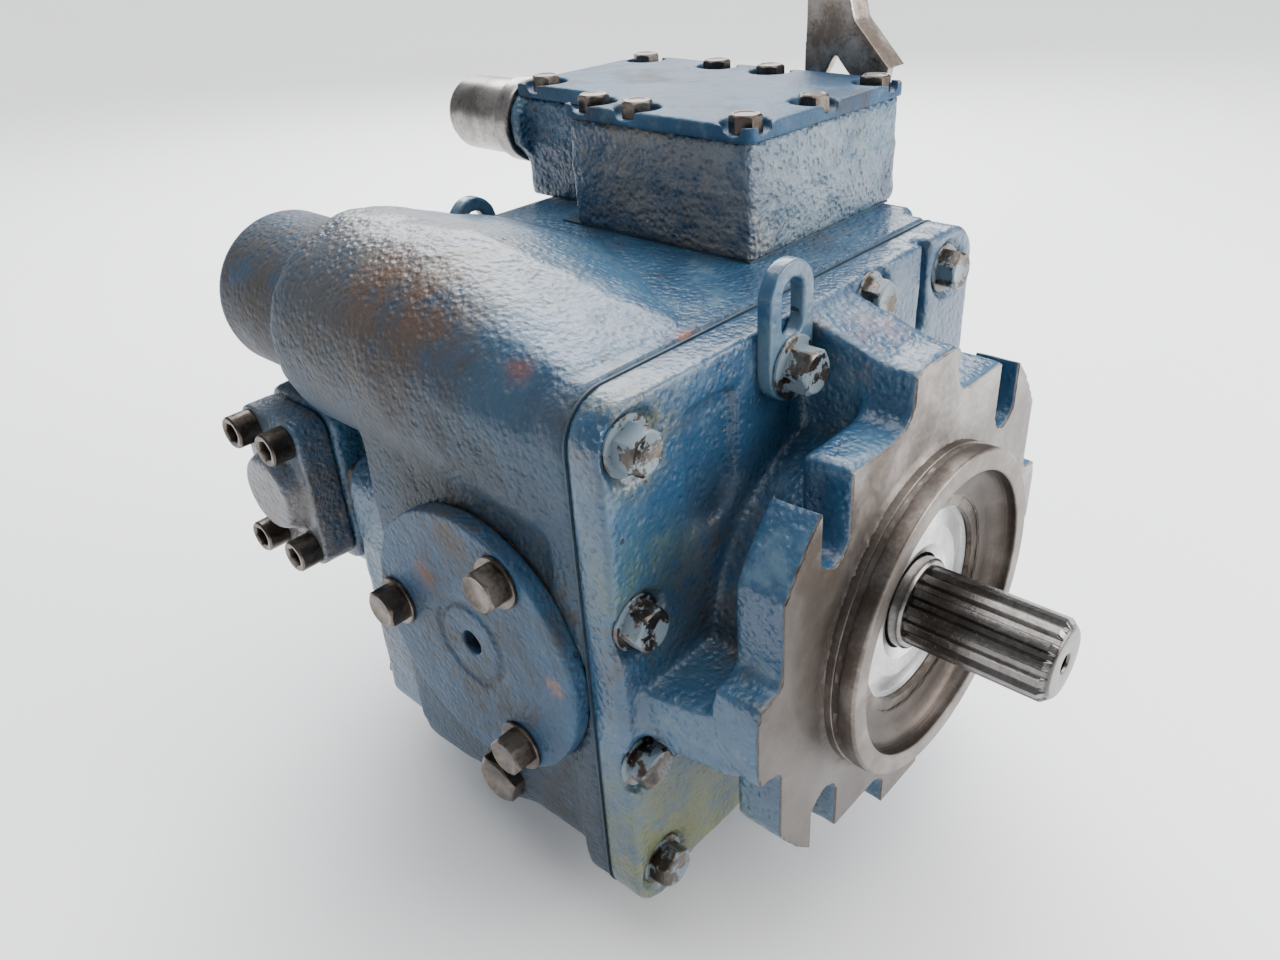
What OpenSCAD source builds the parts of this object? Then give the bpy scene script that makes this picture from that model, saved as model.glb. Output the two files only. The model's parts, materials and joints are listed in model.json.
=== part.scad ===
// Variable axial piston pump with a bolted mounting flange, splined shaft and a lever control.
// The shaft runs along Y: the drive end points to -Y, +Z is up and +X is to the right, looking along +Y.
// The origin is where the shaft axis meets the face of the mounting flange. Sizes are in mm.

/* [Mounting flange] */
// pilot spigot diameter
pilot_d = 127; // [105:0.5:153]
// pilot spigot height in front of the flange face
pilot_h = 12.7; // [10:0.1:16]
// half the side of the square that the mounting bolts stand on
bolt_sq = 57.25; // [47:0.25:69]
// width of the open mounting slots
slot_w = 15.6; // [12:0.1:18]
// flange thickness
flange_t = 19; // [15:0.5:23]

/* [Front cover and housing] */
// width of the front cover
body_w = 224; // [186:1:270]
// height of the deck above the shaft axis
deck_z = 109.5; // [104:0.5:132]
// depth of the underside below the shaft axis
base_z = 96; // [92:0.5:116]
// distance from the flange face to the front of the cover plate
neck_len = 45; // [37:0.5:54]
// thickness of the cover plate
plate_t = 15; // [12:0.5:18]
// length of the housing between the front cover and the end cap
house_len = 117.2; // [112:0.2:141]

/* [Rotating group] */
// diameter over the spline teeth of the shaft
shaft_d = 31.2; // [26:0.1:36]
// number of spline teeth
spline_n = 14; // [13:1:15]
// length of shaft in front of the flange face
shaft_out = 56.8; // [47:0.2:68]
// cylinder block diameter
block_d = 112; // [106:1:130]
// circle that the pistons stand on
piston_pcd = 80; // [76:1:84]
// piston diameter
piston_d = 20; // [17:0.5:22]
// number of pistons
piston_n = 9; // [7:2:9]

/* [Trunnions and servo] */
// trunnion cover diameter
tcover_d = 106; // [88:1:110]
// servo cylinder outside diameter
servo_d = 88; // [80:1:90]
// servo bore diameter
servo_bore = 52; // [46:1:60]
// length that the servo cap stands out behind the housing
servo_cap_len = 58; // [48:1:70]

/* [Control] */
// width of the control housing
box_w = 105; // [98:1:126]
// length of the control housing
box_l = 144; // [138:1:172]
// height of the control housing without its lid
box_h = 42.5; // [40:0.5:51]
// spool diameter
spool_d = 18; // [15:0.5:21]
// reach of the control lever from its shaft to the rod hole
lever_len = 92; // [77:1:110]

/* [End cap and charge pump] */
// length of the port block behind the housing
port_len = 94; // [90:1:112]
// port bore diameter
port_d = 25; // [21:0.5:30]
// charge pump diameter
charge_d = 98; // [94:1:118]

/* [Hidden] */
$fn = 48;
e = 0.01;
run = 0.03;
film = 0.02;
gasket_t = 0.8;
pilot_r = pilot_d / 2;
flange_r = pilot_r + 35.3;
slot_x = bolt_sq + 1.2;
ear_x = pilot_r + 22;
ear_z = pilot_r + 16;
low_z = pilot_r + 13;
lobe_w = 15;
side_w = 17;
seam_y = neck_len + plate_t;
house_y = seam_y + gasket_t;
rear_y = house_y + house_len;
half_w = body_w / 2;
wall_x = half_w - 4;
tcover_r = tcover_d / 2;
tr_y = house_y + tcover_r + 0.2;
swash_y = tr_y + 6;
slip_t = 4;
ball_y = swash_y + 9;
block_y = swash_y + 16;
block_end = rear_y + 6;
plate_y = block_end;
valve_y = plate_y + 5;
cap_floor = valve_y + 5;
cap_y = rear_y + gasket_t;
cap_plate = 26;
block_end_y = cap_y + port_len;
block_r = block_d / 2;
rotor_r = max(block_r, piston_pcd / 2 + 15);
cavity_r = rotor_r + 18;
shaft_r = shaft_d / 2;
seal_r = shaft_r + 2.4;
seat_r = shaft_r + 4.4;
race_in = seat_r + 5;
race_out = race_in + 10;
brg_r = race_out + 5.4;
ret_r = brg_r + 1.6;
ret_y = 0;
ret_t = 14;
brg_y = ret_y + ret_t + 1.5;
brg_t = 20;
tr_r = 20;
tr_brg = 31;
tcover_t = 7.9;
shim_t = 0.6;
boss_x = half_w - 2;
tbolt_r = tcover_r - 10.4;
servo_r = servo_d / 2;
servo_x = half_w - servo_r + 2.5;
pocket_r = block_r + 4;
eye_r = pocket_r + 6.8;
port_z = 14;
port_top = port_z + 38;
servo_z = max(sqrt(max(0, pow(eye_r + servo_r + 1.2, 2) - pow(servo_x, 2))),
    port_top + servo_r - 10.5 + 1.4);
tr_brg_x = max(cavity_r + 3, servo_x + 5.5);
sbore_r = servo_bore / 2;
servo_y0 = tr_y + 36;
servo_y1 = rear_y + 44;
scap_r = servo_r - 10.5;
box_x0 = 12;
box_x1 = box_x0 + box_w;
box_y0 = tr_y - 28;
box_y1 = box_y0 + box_l;
box_z0 = deck_z + gasket_t;
box_z1 = box_z0 + box_h;
lid_t = 6.2;
step_y = box_y1 - 52;
step_x = box_x0 + 22;
spool_x = box_x0 + 33;
spool_z = box_z0 + box_h - 12.3;
spool_r = spool_d / 2;
lever_y = box_y0 + 36;
lever_z = spool_z - 13.5;
crank = 13.5;
charge_r = charge_d / 2;
gero_y0 = block_end_y + 0.05;
cbolt_r = charge_r - 6.4;
gero_t = 14;
gero_e = 2.6;
gero_d = 26;
gero_s = 6;
gero_n = 7;
strap_x = -27.5;
strap_w = 24;
strap_t = 6;
hex_af = 14.3;
hex_h = 7.5;
wash_r = 10;
wash_t = 1.6;
cover_bolts = [
    [-(half_w - 13), deck_z - 15],
    [-(half_w - 11.5), 31],
    [-(half_w - 9.5), -28],
    [-(half_w - 16), -(base_z - 10)],
    [33, deck_z - 11],
    [half_w - 21, deck_z - 16],
    [half_w - 11.5, 31],
    [half_w - 9.5, -28],
    [half_w - 16, -(base_z - 10)]
];
lid_bolts = [
    [box_x0 + 8, box_y0 + 8],
    [box_x0 + box_w * 0.48, box_y0 + 7.5],
    [box_x1 - 9, box_y0 + 8],
    [box_x0 + 7.5, step_y - 32],
    [box_x0 + 8, step_y - 8],
    [step_x + 8, box_y1 - 9],
    [box_x1 - 8, box_y0 + box_l * 0.43],
    [box_x1 - 8, box_y0 + box_l * 0.64],
    [box_x1 - 9, box_y1 - 9]
];
port_y = cap_y + 68;
port_x = half_w - 17;
pf_t = 15;
pf_sy = 26.2;
pf_sz = 52.4;
cap_bolts = [
    [-(half_w - 22), 22],
    [half_w - 22, 22],
    [half_w - 22, -24],
    [-(half_w - 22), -(base_z - 20)],
    [-(half_w - 60), -(base_z - 12)],
    [10, -(base_z - 12)]
];

// cylinder along Y between two stations
module ycyl(r, y0, y1, x = 0, z = 0)
    translate([x, y0, z]) rotate([-90, 0, 0]) cylinder(h = y1 - y0, r = r);

// cylinder along X between two stations
module xcyl(r, x0, x1, y = 0, z = 0)
    translate([x0, y, z]) rotate([0, 90, 0]) cylinder(h = x1 - x0, r = r);

// body turned about the Y axis from points [radius, y]
module yturn(pts)
    rotate([-90, 0, 0]) rotate_extrude() polygon(pts);

// outline in X and Z made into a plate between two Y stations
module yplate(y0, y1)
    translate([0, y1, 0]) rotate([90, 0, 0]) linear_extrude(y1 - y0) children();

// outline in Y and Z made into a plate between two X stations
module xplate(x0, x1)
    translate([x0, 0, 0]) rotate([90, 0, 90]) linear_extrude(x1 - x0) children();

// rectangle with round corners, from its low corner to its high corner
module rrect(x0, z0, x1, z1, r) {
    translate([x0 + r, z0]) square([x1 - x0 - 2 * r, z1 - z0]);
    translate([x0, z0 + r]) square([x1 - x0, z1 - z0 - 2 * r]);
    for (x = [x0 + r, x1 - r], z = [z0 + r, z1 - r])
        translate([x, z]) circle(r = r);
}

// hex head bolt along Y with its head towards -Y
module ybolt(x, z, seat, d, af, h, len) {
    ycyl(d / 2, seat - e, seat + len, x, z);
    translate([x, seat, z]) rotate([90, 0, 0]) cylinder(h = h, r = af / sqrt(3), $fn = 6);
}

// filling of an inside corner, towards +x and +y from the corner
module corner_fill(r)
    difference() {
        translate([-0.5, -0.5]) square([r + 0.5, r + 0.5]);
        translate([r, r]) circle(r = r);
    }

module flange_outline() {
    difference() {
        intersection() {
            circle(r = flange_r);
            union() {
                translate([-ear_x, -low_z]) square([2 * ear_x, low_z + ear_z]);
                translate([-lobe_w, 0]) square([2 * lobe_w, flange_r + 1]);
                translate([-lobe_w, -(flange_r - 5)]) square([2 * lobe_w, flange_r]);
                translate([-flange_r - 1, -side_w]) square([2 * flange_r + 2, 2 * side_w]);
                for (s = [-1, 1]) {
                    scale([s, 1]) translate([lobe_w, ear_z]) corner_fill(9);
                    scale([s, -1]) translate([lobe_w, low_z]) corner_fill(7);
                    scale([s, 1]) translate([ear_x, side_w]) corner_fill(6);
                    scale([s, -1]) translate([ear_x, side_w]) corner_fill(6);
                }
            }
        }
        for (sx = [-1, 1], sz = [-1, 1]) {
            translate([sx * slot_x, sz * bolt_sq]) circle(r = slot_w / 2);
            translate([sx * slot_x - slot_w / 2, sz > 0 ? bolt_sq : -bolt_sq - 60]) square([slot_w, 60]);
        }
    }
}

module cover_outline() {
    difference() {
        rrect(-half_w, -base_z, half_w, deck_z, 17);
        for (s = [-1, 1])
            translate([s > 0 ? half_w - 22 : -half_w - 1, -base_z - 1]) square([23, 24]);
    }
    for (s = [-1, 1]) {
        translate([s * (half_w - 16.5), -(base_z - 9.5)]) circle(r = 16.5);
        translate([s > 0 ? half_w - 24 : -half_w, -(base_z - 9.5)]) square([24, 16]);
    }
}

module pilot_body()
    yturn([[0, -pilot_h], [pilot_r - 1, -pilot_h], [pilot_r, -pilot_h + 1], [pilot_r, -6.5],
        [pilot_r - 2, -6.5], [pilot_r - 2, -4], [pilot_r, -4], [pilot_r, 2], [0, 2]]);

module front_cover() {
    color("steelblue") difference() {
        union() {
            pilot_body();
            yplate(0, flange_t) flange_outline();
            ycyl(pilot_r + 3, flange_t - 2, neck_len + 2);
            xplate(-14.5, 16)
                polygon([[10, 50], [10, flange_r - 1.2], [neck_len + 1, deck_z - 1],
                    [neck_len + 1, 50]]);
            for (s = [0, 1]) mirror([s, 0, 0]) translate([0, 0, -19]) linear_extrude(24)
                polygon([[60, 10], [flange_r - 1.4, 10], [half_w - 9, neck_len + 1],
                    [60, neck_len + 1]]);
            xplate(-12, 12)
                polygon([[10, -50], [10, -(flange_r - 7)], [neck_len + 1, -(base_z - 4)],
                    [neck_len + 1, -50]]);
            yplate(neck_len, seam_y) cover_outline();
        }
        yturn([[0, -pilot_h - 1], [pilot_r - 8.2, -pilot_h - 1], [pilot_r - 8.2, -9],
            [pilot_r - 10, -6], [pilot_r - 14, -4], [ret_r + 3, -3.4], [0, -3.4]]);
        ycyl(ret_r, -4, ret_t + 1.5);
        ycyl(ret_r + 2.6, -2.4, -0.1);
        ycyl(brg_r, ret_t, brg_y + brg_t + 0.5);
        ycyl(brg_r - 5, ret_t, seam_y + 1);
        for (b = cover_bolts) {
            ycyl(5.3, neck_len - 5, seam_y + 1, b[0], b[1]);
            ycyl(12, neck_len - 8, neck_len + 3, b[0], b[1]);
        }
        ycyl(5.3, neck_len - 5, seam_y + 1, strap_x, deck_z - 14);
        yplate(neck_len - 2, neck_len + 4) {
            translate([-62, 62]) circle(r = 13);
            translate([-75, 62]) square([26, 34]);
        }
        translate([half_w - 43, neck_len - 2, deck_z - 38]) cube([5, 8, 40]);
    }
}

module front_gasket() {
    color("dimgray") yplate(seam_y, house_y) difference() {
        cover_outline();
        circle(r = cavity_r);
        for (b = cover_bolts)
            translate([b[0], b[1]]) circle(r = 5.3);
        translate([strap_x, deck_z - 14]) circle(r = 5.3);
    }
}

module cover_bolts() {
    color("slategray") for (b = cover_bolts) {
        difference() {
            union() {
                ybolt(b[0], b[1], neck_len + 3 - wash_t, 10, hex_af, hex_h, plate_t + 16);
                ycyl(wash_r, neck_len + 3 - wash_t, neck_len + 3, b[0], b[1]);
            }
        }
    }
}

module strap_2d(cx, top) {
    difference() {
        union() {
            translate([cx, top - strap_w / 2]) circle(r = strap_w / 2);
            translate([cx - strap_w / 2, top - 36]) square([strap_w, 36 - strap_w / 2]);
            translate([cx, top - 36]) circle(r = strap_w / 2);
        }
        translate([cx, top - 12]) circle(r = 6);
        translate([cx, top - 20]) circle(r = 6);
        translate([cx - 6, top - 20]) square([12, 8]);
        translate([cx, top - 36]) circle(r = 5.3);
    }
}

module lifting_straps() {
    color("slategray") {
        yplate(neck_len - strap_t, neck_len) strap_2d(strap_x, deck_z + 22);
        yplate(servo_y1, servo_y1 + strap_t) strap_2d(-6, deck_z + 9);
    }
}

module strap_bolts() {
    color("slategray") {
        ybolt(strap_x, deck_z - 14, neck_len - strap_t - wash_t, 10, hex_af, hex_h + 1, plate_t + 22);
        ycyl(wash_r + 1, neck_len - strap_t - wash_t, neck_len - strap_t, strap_x, deck_z - 14);
        mirror([0, 1, 0]) {
            ybolt(-6, deck_z - 27, -servo_y1 - strap_t - wash_t, 10, hex_af, hex_h + 1, 26);
            ycyl(wash_r + 1, -servo_y1 - strap_t - wash_t, -servo_y1 - strap_t, -6, deck_z - 27);
        }
    }
}

// spline teeth with a root circle between them
module spline_2d()
    intersection() {
        circle(r = shaft_r);
        union() {
            circle(r = shaft_r - 1.9);
            for (i = [0:spline_n - 1]) rotate(i * 360 / spline_n)
                polygon([[8, -2.15], [shaft_r - 2.5, -2.15], [shaft_r + 0.2, -1.15],
                    [shaft_r + 0.2, 1.15], [shaft_r - 2.5, 2.15], [8, 2.15]]);
        }
    }

module input_shaft() {
    y2 = brg_y + brg_t;
    color("darkslategray") difference() {
        union() {
            intersection() {
                yplate(-shaft_out, -1) spline_2d();
                yturn([[0, -shaft_out], [shaft_r - 2.8, -shaft_out], [shaft_r + 0.6, -shaft_out + 3.4],
                    [shaft_r + 0.6, 0], [0, 0]]);
            }
            yturn([[0, -2], [seal_r - 1, -2], [seal_r, -1], [seal_r, brg_y - 1], [seat_r, brg_y - 0.5],
                [seat_r, y2], [seat_r + 2.5, y2], [seat_r + 2.5, y2 + 4], [seat_r - 2, y2 + 5],
                [seat_r - 2, block_end - 4], [shaft_r - 1, block_end - 3],
                [shaft_r - 1, cap_floor + 24], [9, cap_floor + 25], [9, gero_y0 + gero_t + 2],
                [0, gero_y0 + gero_t + 2]]);
        }
        ycyl(3.4, -shaft_out - 1, -shaft_out + 12);
    }
}

module seal_retainer() {
    color("lightgray") difference() {
        yturn([[seal_r + 1.2, ret_y + 2], [seal_r + 5, ret_y + 0.6], [seal_r + 12, ret_y + 0.6],
            [ret_r - 4.5, ret_y + 2.2], [ret_r - 4.2, ret_y], [ret_r - run, ret_y],
            [ret_r - run, ret_y + ret_t], [seal_r + 7.5, ret_y + ret_t],
            [seal_r + 7.5, ret_y + 6], [seal_r + 1.2, ret_y + 6]]);
    }
}

module snap_ring() {
    color("dimgray") difference() {
        yturn([[ret_r - 3.5, -2.2], [ret_r + 2.3, -2.2], [ret_r + 2.3, -0.2],
            [ret_r - 3.5, -0.2]]);
        translate([-3, -3, 20]) cube([6, 4, 40]);
    }
}

module shaft_seal()
    color("black") yturn([[seal_r + 0.05, ret_y + 8], [seal_r + 1.5, ret_y + 6.3],
        [seal_r + 7.4, ret_y + 6.3], [seal_r + 7.4, ret_y + 13], [seal_r + 5.5, ret_y + 13],
        [seal_r + 5.5, ret_y + 8.5], [seal_r + 2, ret_y + 9]]);

module front_bearing_outer()
    color("silver") yturn([[race_out, brg_y + 2], [race_out, brg_y + brg_t - 2],
        [race_out - 1.5, brg_y + brg_t - 2], [race_out - 1.5, brg_y + brg_t],
        [brg_r, brg_y + brg_t], [brg_r, brg_y], [race_out - 1.5, brg_y],
        [race_out - 1.5, brg_y + 2]]);

module front_bearing_inner()
    color("silver") yturn([[seat_r, brg_y], [race_in, brg_y], [race_in, brg_y + brg_t],
        [seat_r, brg_y + brg_t]]);

module front_bearing_rollers() {
    rm = (race_in + race_out) / 2;
    rr = (race_out - race_in) / 2 - run;
    color("silver") {
        difference() {
            yturn([[rm - 1.5, brg_y + 3], [rm + 1.5, brg_y + 3], [rm + 1.5, brg_y + brg_t - 3],
                [rm - 1.5, brg_y + brg_t - 3]]);
            for (i = [0:11]) rotate([0, i * 30, 0])
                ycyl(rr + 0.3, brg_y + 4.4, brg_y + brg_t - 4.4, rm, 0);
        }
        for (i = [0:11]) rotate([0, i * 30, 0])
            ycyl(rr, brg_y + 4.6, brg_y + brg_t - 4.6, rm, 0);
    }
}

module bulge_2d(foot = true) {
    hull() {
        translate([-servo_x, servo_z]) circle(r = servo_r);
        translate([2, deck_z - 6]) square([2, 6]);
        if (foot) translate([-servo_x, 30]) square([60, 10]);
    }
}

// servo cylinder casting and the fairing that leads up to it from the front cover
module servo_casting(deck) {
    servo_mid = servo_y0 + 4;
    yplate(servo_mid - 1, rear_y) bulge_2d();
    yplate(rear_y - 1, servo_y1 - 9) bulge_2d(false);
    ycyl(servo_r - 1, servo_y1 - 10, servo_y1 - 4, -servo_x, servo_z);
    ycyl(servo_r - 6, servo_y1 - 10, servo_y1, -servo_x, servo_z);
    hull() {
        translate([0, servo_mid, 0]) yplate(0, 1) bulge_2d();
        translate([-half_w + 0.5, house_y + 5, 60]) cube([half_w - 46, 1, deck - 78]);
        translate([-half_w + 14, house_y + 5, 60]) cube([half_w - 60, 1, deck - 60.2]);
    }
}

module main_housing() {
    color("steelblue") difference() {
        union() {
            yplate(house_y, house_y + 13) cover_outline();
            yplate(house_y + 12, rear_y) rrect(-wall_x, -base_z - 4, wall_x, deck_z, 20);
            yplate(rear_y - 1, servo_y1) rrect(-wall_x + 30, 44, half_w, deck_z, 8);
            yplate(house_y + 12, rear_y) translate([0, deck_z - 40]) square([half_w, 40]);
            servo_casting(deck_z);
            rotate([0, 180, 0]) {
                yplate(tr_y + 16, rear_y) hull() {
                    translate([-servo_x, servo_z]) circle(r = servo_r - 0.4);
                    translate([-servo_x, 30]) square([60, 10]);
                }
                ycyl(servo_r, tr_y + 16, servo_y1 - 4, -servo_x, servo_z);
            }
            for (s = [0, 1]) mirror([s, 0, 0]) intersection() {
                xcyl(tcover_r + 0.6, wall_x - 12, boss_x, tr_y, 0);
                translate([0, house_y - 60, -200]) cube([half_w + 20, house_len + 60, 400]);
            }
            xcyl(14, -wall_x - 2, -wall_x + 20, tr_y + 4, -75);
        }
        translate([-half_w - 20, house_y - 60, -200]) cube([body_w + 40, 60, 400]);
        ycyl(cavity_r, house_y - 1, rear_y - 12);
        ycyl(pocket_r, rear_y - 13, rear_y + 1);
        ycyl(eye_r + 0.5, rear_y, servo_y1 + 1);
        for (s = [0, 1]) mirror([s, 0, 0]) {
            xcyl(tr_brg, 60, half_w + 10, tr_y, 0);
            xcyl(tcover_r + 0.3, boss_x, half_w + 20, tr_y, 0);
            for (a = [0, 120, 240])
                xcyl(5, half_w - 24, half_w, tr_y + tbolt_r * cos(a), tbolt_r * sin(a));
        }
        for (s = [0, 1]) rotate([0, 180 * s, 0]) {
            ycyl(sbore_r, tr_y + 24, servo_y1 + 1, -servo_x, servo_z);
            ycyl(sbore_r + 7, servo_y1 - 14, servo_y1 + 1, -servo_x, servo_z);
            translate([-servo_x - 9.5, tr_y - 10, -2]) cube([19, 50, servo_z + 2]);
        }
        for (b = cover_bolts)
            ycyl(5, house_y - 1, house_y + 20, b[0], b[1]);
        ycyl(5, house_y - 1, house_y + 20, strap_x, deck_z - 14);
        ycyl(5, servo_y1 - 26, servo_y1 + 1, -6, deck_z - 27);
        for (b = cap_bolts)
            ycyl(6, rear_y - 24, rear_y + 1, b[0], b[1]);
        translate([spool_x - 8, box_y0 + 40, 60]) cube([16, 30, 60]);
        for (b = [[box_x0 + 20, box_y0 + 12], [box_x1 - 20, box_y0 + 12]])
            translate([b[0], b[1], deck_z - 14]) cylinder(h = 20, r = 4);
        xcyl(7, -wall_x - 4, -wall_x + 8, tr_y + 4, -75);
        xcyl(4, -wall_x, -40, tr_y + 4, -75);
    }
}

module piston_ring(r)
    for (i = [0:piston_n - 1]) rotate([0, i * 360 / piston_n, 0])
        translate([r, 0, 0]) children();

module cylinder_block() {
    color("gray") difference() {
        yturn([[seat_r - 2 + run, block_y + 14], [27, block_y + 14], [27, block_y],
            [block_r - 2, block_y], [block_r, block_y + 2], [block_r, block_end - 6],
            [block_r - 3, block_end], [seat_r - 2 + run, block_end]]);
        piston_ring(piston_pcd / 2) {
            ycyl(piston_d / 2 + run, block_y - 1, block_end - 5);
            translate([-4, block_end - 6, -7]) cube([8, 7, 14]);
        }
    }
}

module pistons() {
    color("silver") piston_ring(piston_pcd / 2) difference() {
        union() {
            translate([0, ball_y, 0]) sphere(r = 6.4);
            ycyl(4, ball_y, block_y + 3);
            ycyl(piston_d / 2, block_y + 2.5, block_end - 8);
        }
        ycyl(piston_d / 2 - 3.5, block_y + 12, block_end - 7);
    }
}

module slippers() {
    y = swash_y + film;
    socket = [for (a = [22:-12:-82]) [6.5 * cos(a), ball_y + 6.5 * sin(a)]];
    color("gold") piston_ring(piston_pcd / 2)
        yturn(concat([[6, y], [11.6, y], [11.6, y + slip_t - 0.2], [8.2, y + slip_t - 0.2],
            [8.2, y + 11.4]], socket, [[0, ball_y - 6.5], [0, y + 0.8], [6, y + 0.8]]));
}

module slipper_retainer() {
    color("silver") difference() {
        ycyl(piston_pcd / 2 + 14, swash_y + slip_t, swash_y + slip_t + 2.4);
        ycyl(28, swash_y, swash_y + 12);
        piston_ring(piston_pcd / 2) ycyl(8.6, swash_y, swash_y + 12);
    }
}

module ball_guide()
    color("silver") yturn([[seat_r - 2 + run, swash_y + 2], [26, swash_y + 2],
        [27.6, swash_y + 5], [27.8, swash_y + 7], [27, swash_y + 10], [25, swash_y + 13],
        [seat_r - 2 + run, swash_y + 13]]);

module block_springs() {
    color("dimgray") for (i = [0:5]) {
        y0 = swash_y + 13 + i * 2.8;
        flip = i % 2;
        yturn([[seat_r - 1.6, y0 + (flip ? 0.1 : 1.2)], [26, y0 + (flip ? 1.2 : 0.1)],
            [26, y0 + (flip ? 2.6 : 1.5)], [seat_r - 1.6, y0 + (flip ? 1.5 : 2.6)]]);
    }
}

module kidneys(y0, y1)
    piston_ring(piston_pcd / 2) translate([-4, y0, -7]) cube([8, y1 - y0, 14]);

module bearing_plate() {
    color("gold") difference() {
        ycyl(block_r - 3, plate_y, valve_y);
        ycyl(shaft_r + 1.2, plate_y - 1, valve_y + 1);
        kidneys(plate_y - 1, valve_y + 1);
    }
}

module arc_slot(r, w, a0, a1) {
    intersection() {
        difference() {
            circle(r = r + w / 2);
            circle(r = r - w / 2);
        }
        polygon([[0, 0], for (i = [0:8]) 90 * [cos(a0 + (a1 - a0) * i / 8), sin(a0 + (a1 - a0) * i / 8)]]);
    }
}

module valve_plate() {
    color("gray") yplate(valve_y + film, cap_floor) difference() {
        circle(r = block_r - 1);
        circle(r = shaft_r + 1.6);
        arc_slot(piston_pcd / 2, 8, -62, 62);
        arc_slot(piston_pcd / 2, 8, 118, 242);
    }
}

module swashplate() {
    color("gray") difference() {
        union() {
            ycyl(min(60, cavity_r - 6), tr_y - 16, swash_y);
            for (s = [0, 1]) mirror([s, 0, 0]) {
                xcyl(27, rotor_r + 2, cavity_r - 4, tr_y, 0);
                translate([40, tr_y - 16, -22]) cube([cavity_r - 44, swash_y - tr_y + 16, 44]);
                xcyl(tr_r, cavity_r - 6, half_w - 10, tr_y, 0);
            }
            for (s = [0, 1]) rotate([0, 180 * s, 0])
                xplate(-servo_x - 5, -servo_x + 5) difference() {
                    union() {
                        translate([tr_y, 56]) circle(r = 7);
                        translate([tr_y - 7, 0]) square([14, 56]);
                    }
                    translate([tr_y, 56]) circle(r = 3.05);
                }
            for (s = [0, 1]) rotate([0, 180 * s, 0])
                translate([-servo_x - 5, tr_y - 9, 15]) cube([30, 14, 14]);
        }
        ycyl(seat_r + 8, tr_y - 40, swash_y + 1);
    }
}

module trunnion_bearings() {
    color("silver") for (s = [0, 1]) mirror([s, 0, 0]) difference() {
        xcyl(tr_brg, tr_brg_x, half_w - 12, tr_y, 0);
        xcyl(tr_r + run, cavity_r, half_w, tr_y, 0);
    }
}

module trunnion_cover_body() {
    x1 = boss_x + shim_t;
    difference() {
        union() {
            xcyl(tcover_r, x1, x1 + tcover_t, tr_y, 0);
            xcyl(tr_brg - run, half_w - 9, x1 + 1, tr_y, 0);
        }
        xcyl(4.8, half_w - 20, x1 + tcover_t + 1, tr_y, 0);
        difference() {
            xcyl(19, x1 + tcover_t - 1, x1 + tcover_t + 1, tr_y, 0);
            xcyl(15, x1 + tcover_t - 2, x1 + tcover_t + 2, tr_y, 0);
        }
        for (a = [0, 120, 240])
            xcyl(5.3, x1 - 2, x1 + 20, tr_y + tbolt_r * cos(a), tbolt_r * sin(a));
    }
}

module trunnion_cover_right()
    color("steelblue") trunnion_cover_body();

module trunnion_cover_left()
    color("steelblue") mirror([1, 0, 0]) trunnion_cover_body();

module trunnion_shims() {
    color("dimgray") for (s = [0, 1]) mirror([s, 0, 0]) difference() {
        xcyl(tcover_r - 0.8, boss_x, boss_x + shim_t, tr_y, 0);
        xcyl(tr_brg, boss_x - 1, boss_x + 2, tr_y, 0);
        for (a = [0, 120, 240])
            xcyl(5.3, boss_x - 2, boss_x + 5, tr_y + tbolt_r * cos(a), tbolt_r * sin(a));
    }
}

module trunnion_bolts() {
    x1 = boss_x + shim_t + tcover_t;
    color("slategray") for (s = [0, 1]) mirror([s, 0, 0])
        for (a = [0, 120, 240]) translate([x1, tr_y + tbolt_r * cos(a), tbolt_r * sin(a)])
            rotate([0, 90, 0]) {
                cylinder(h = wash_t, r = wash_r);
                translate([0, 0, wash_t - e]) cylinder(h = hex_h, r = hex_af / sqrt(3), $fn = 6);
                translate([0, 0, -22]) cylinder(h = 23, r = 5);
            }
}

module servo_piston_body() {
    difference() {
        ycyl(sbore_r - run, tr_y + 30, servo_y1 - 30, -servo_x, servo_z);
        ycyl(sbore_r - 6, tr_y + 62, servo_y1, -servo_x, servo_z);
        translate([-servo_x - 8.6, tr_y + 20, servo_z - 40]) cube([17.2, 24, 80]);
        xcyl(4.05, -servo_x - 40, -servo_x + 40, tr_y + 37, servo_z - 12);
    }
}

module servo_piston_left() color("gray") servo_piston_body();
module servo_piston_right() color("gray") rotate([0, 180, 0]) servo_piston_body();

// flat links with their two pins, from the swashplate arms to the servo pistons
module servo_links() {
    color("silver") for (s = [0, 1]) rotate([0, 180 * s, 0]) {
        for (k = [-1, 1])
            xplate(-servo_x + (k > 0 ? 5.1 : -8.1), -servo_x + (k > 0 ? 8.1 : -5.1)) hull() {
                translate([tr_y, 56]) circle(r = 5.5, $fn = 32);
                translate([tr_y + 37, servo_z - 12]) circle(r = 5.5, $fn = 32);
            }
        xcyl(3, -servo_x - 8.5, -servo_x + 8.5, tr_y, 56);
        xcyl(4, -servo_x - sbore_r + 5.5, -servo_x + sbore_r - 5.5, tr_y + 37, servo_z - 12);
    }
}

// coil spring along Z, a round wire swept along a helix
module spring_coil(rad, wire, len, turns) {
    m = 8;
    n = round(turns * 18);
    pts = [for (i = [0:n], j = [0:m - 1])
        let (a = 360 * turns * i / n, b = 360 * j / m)
        [(rad + wire * cos(b)) * cos(a), (rad + wire * cos(b)) * sin(a),
            wire + (len - 2 * wire) * i / n + wire * sin(b)]];
    sides = [for (i = [0:n - 1], j = [0:m - 1])
        [i * m + j, (i + 1) * m + j, (i + 1) * m + (j + 1) % m, i * m + (j + 1) % m]];
    polyhedron(pts, concat(sides, [[for (j = [0:m - 1]) j], [for (j = [m - 1:-1:0]) n * m + j]]));
}

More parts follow.
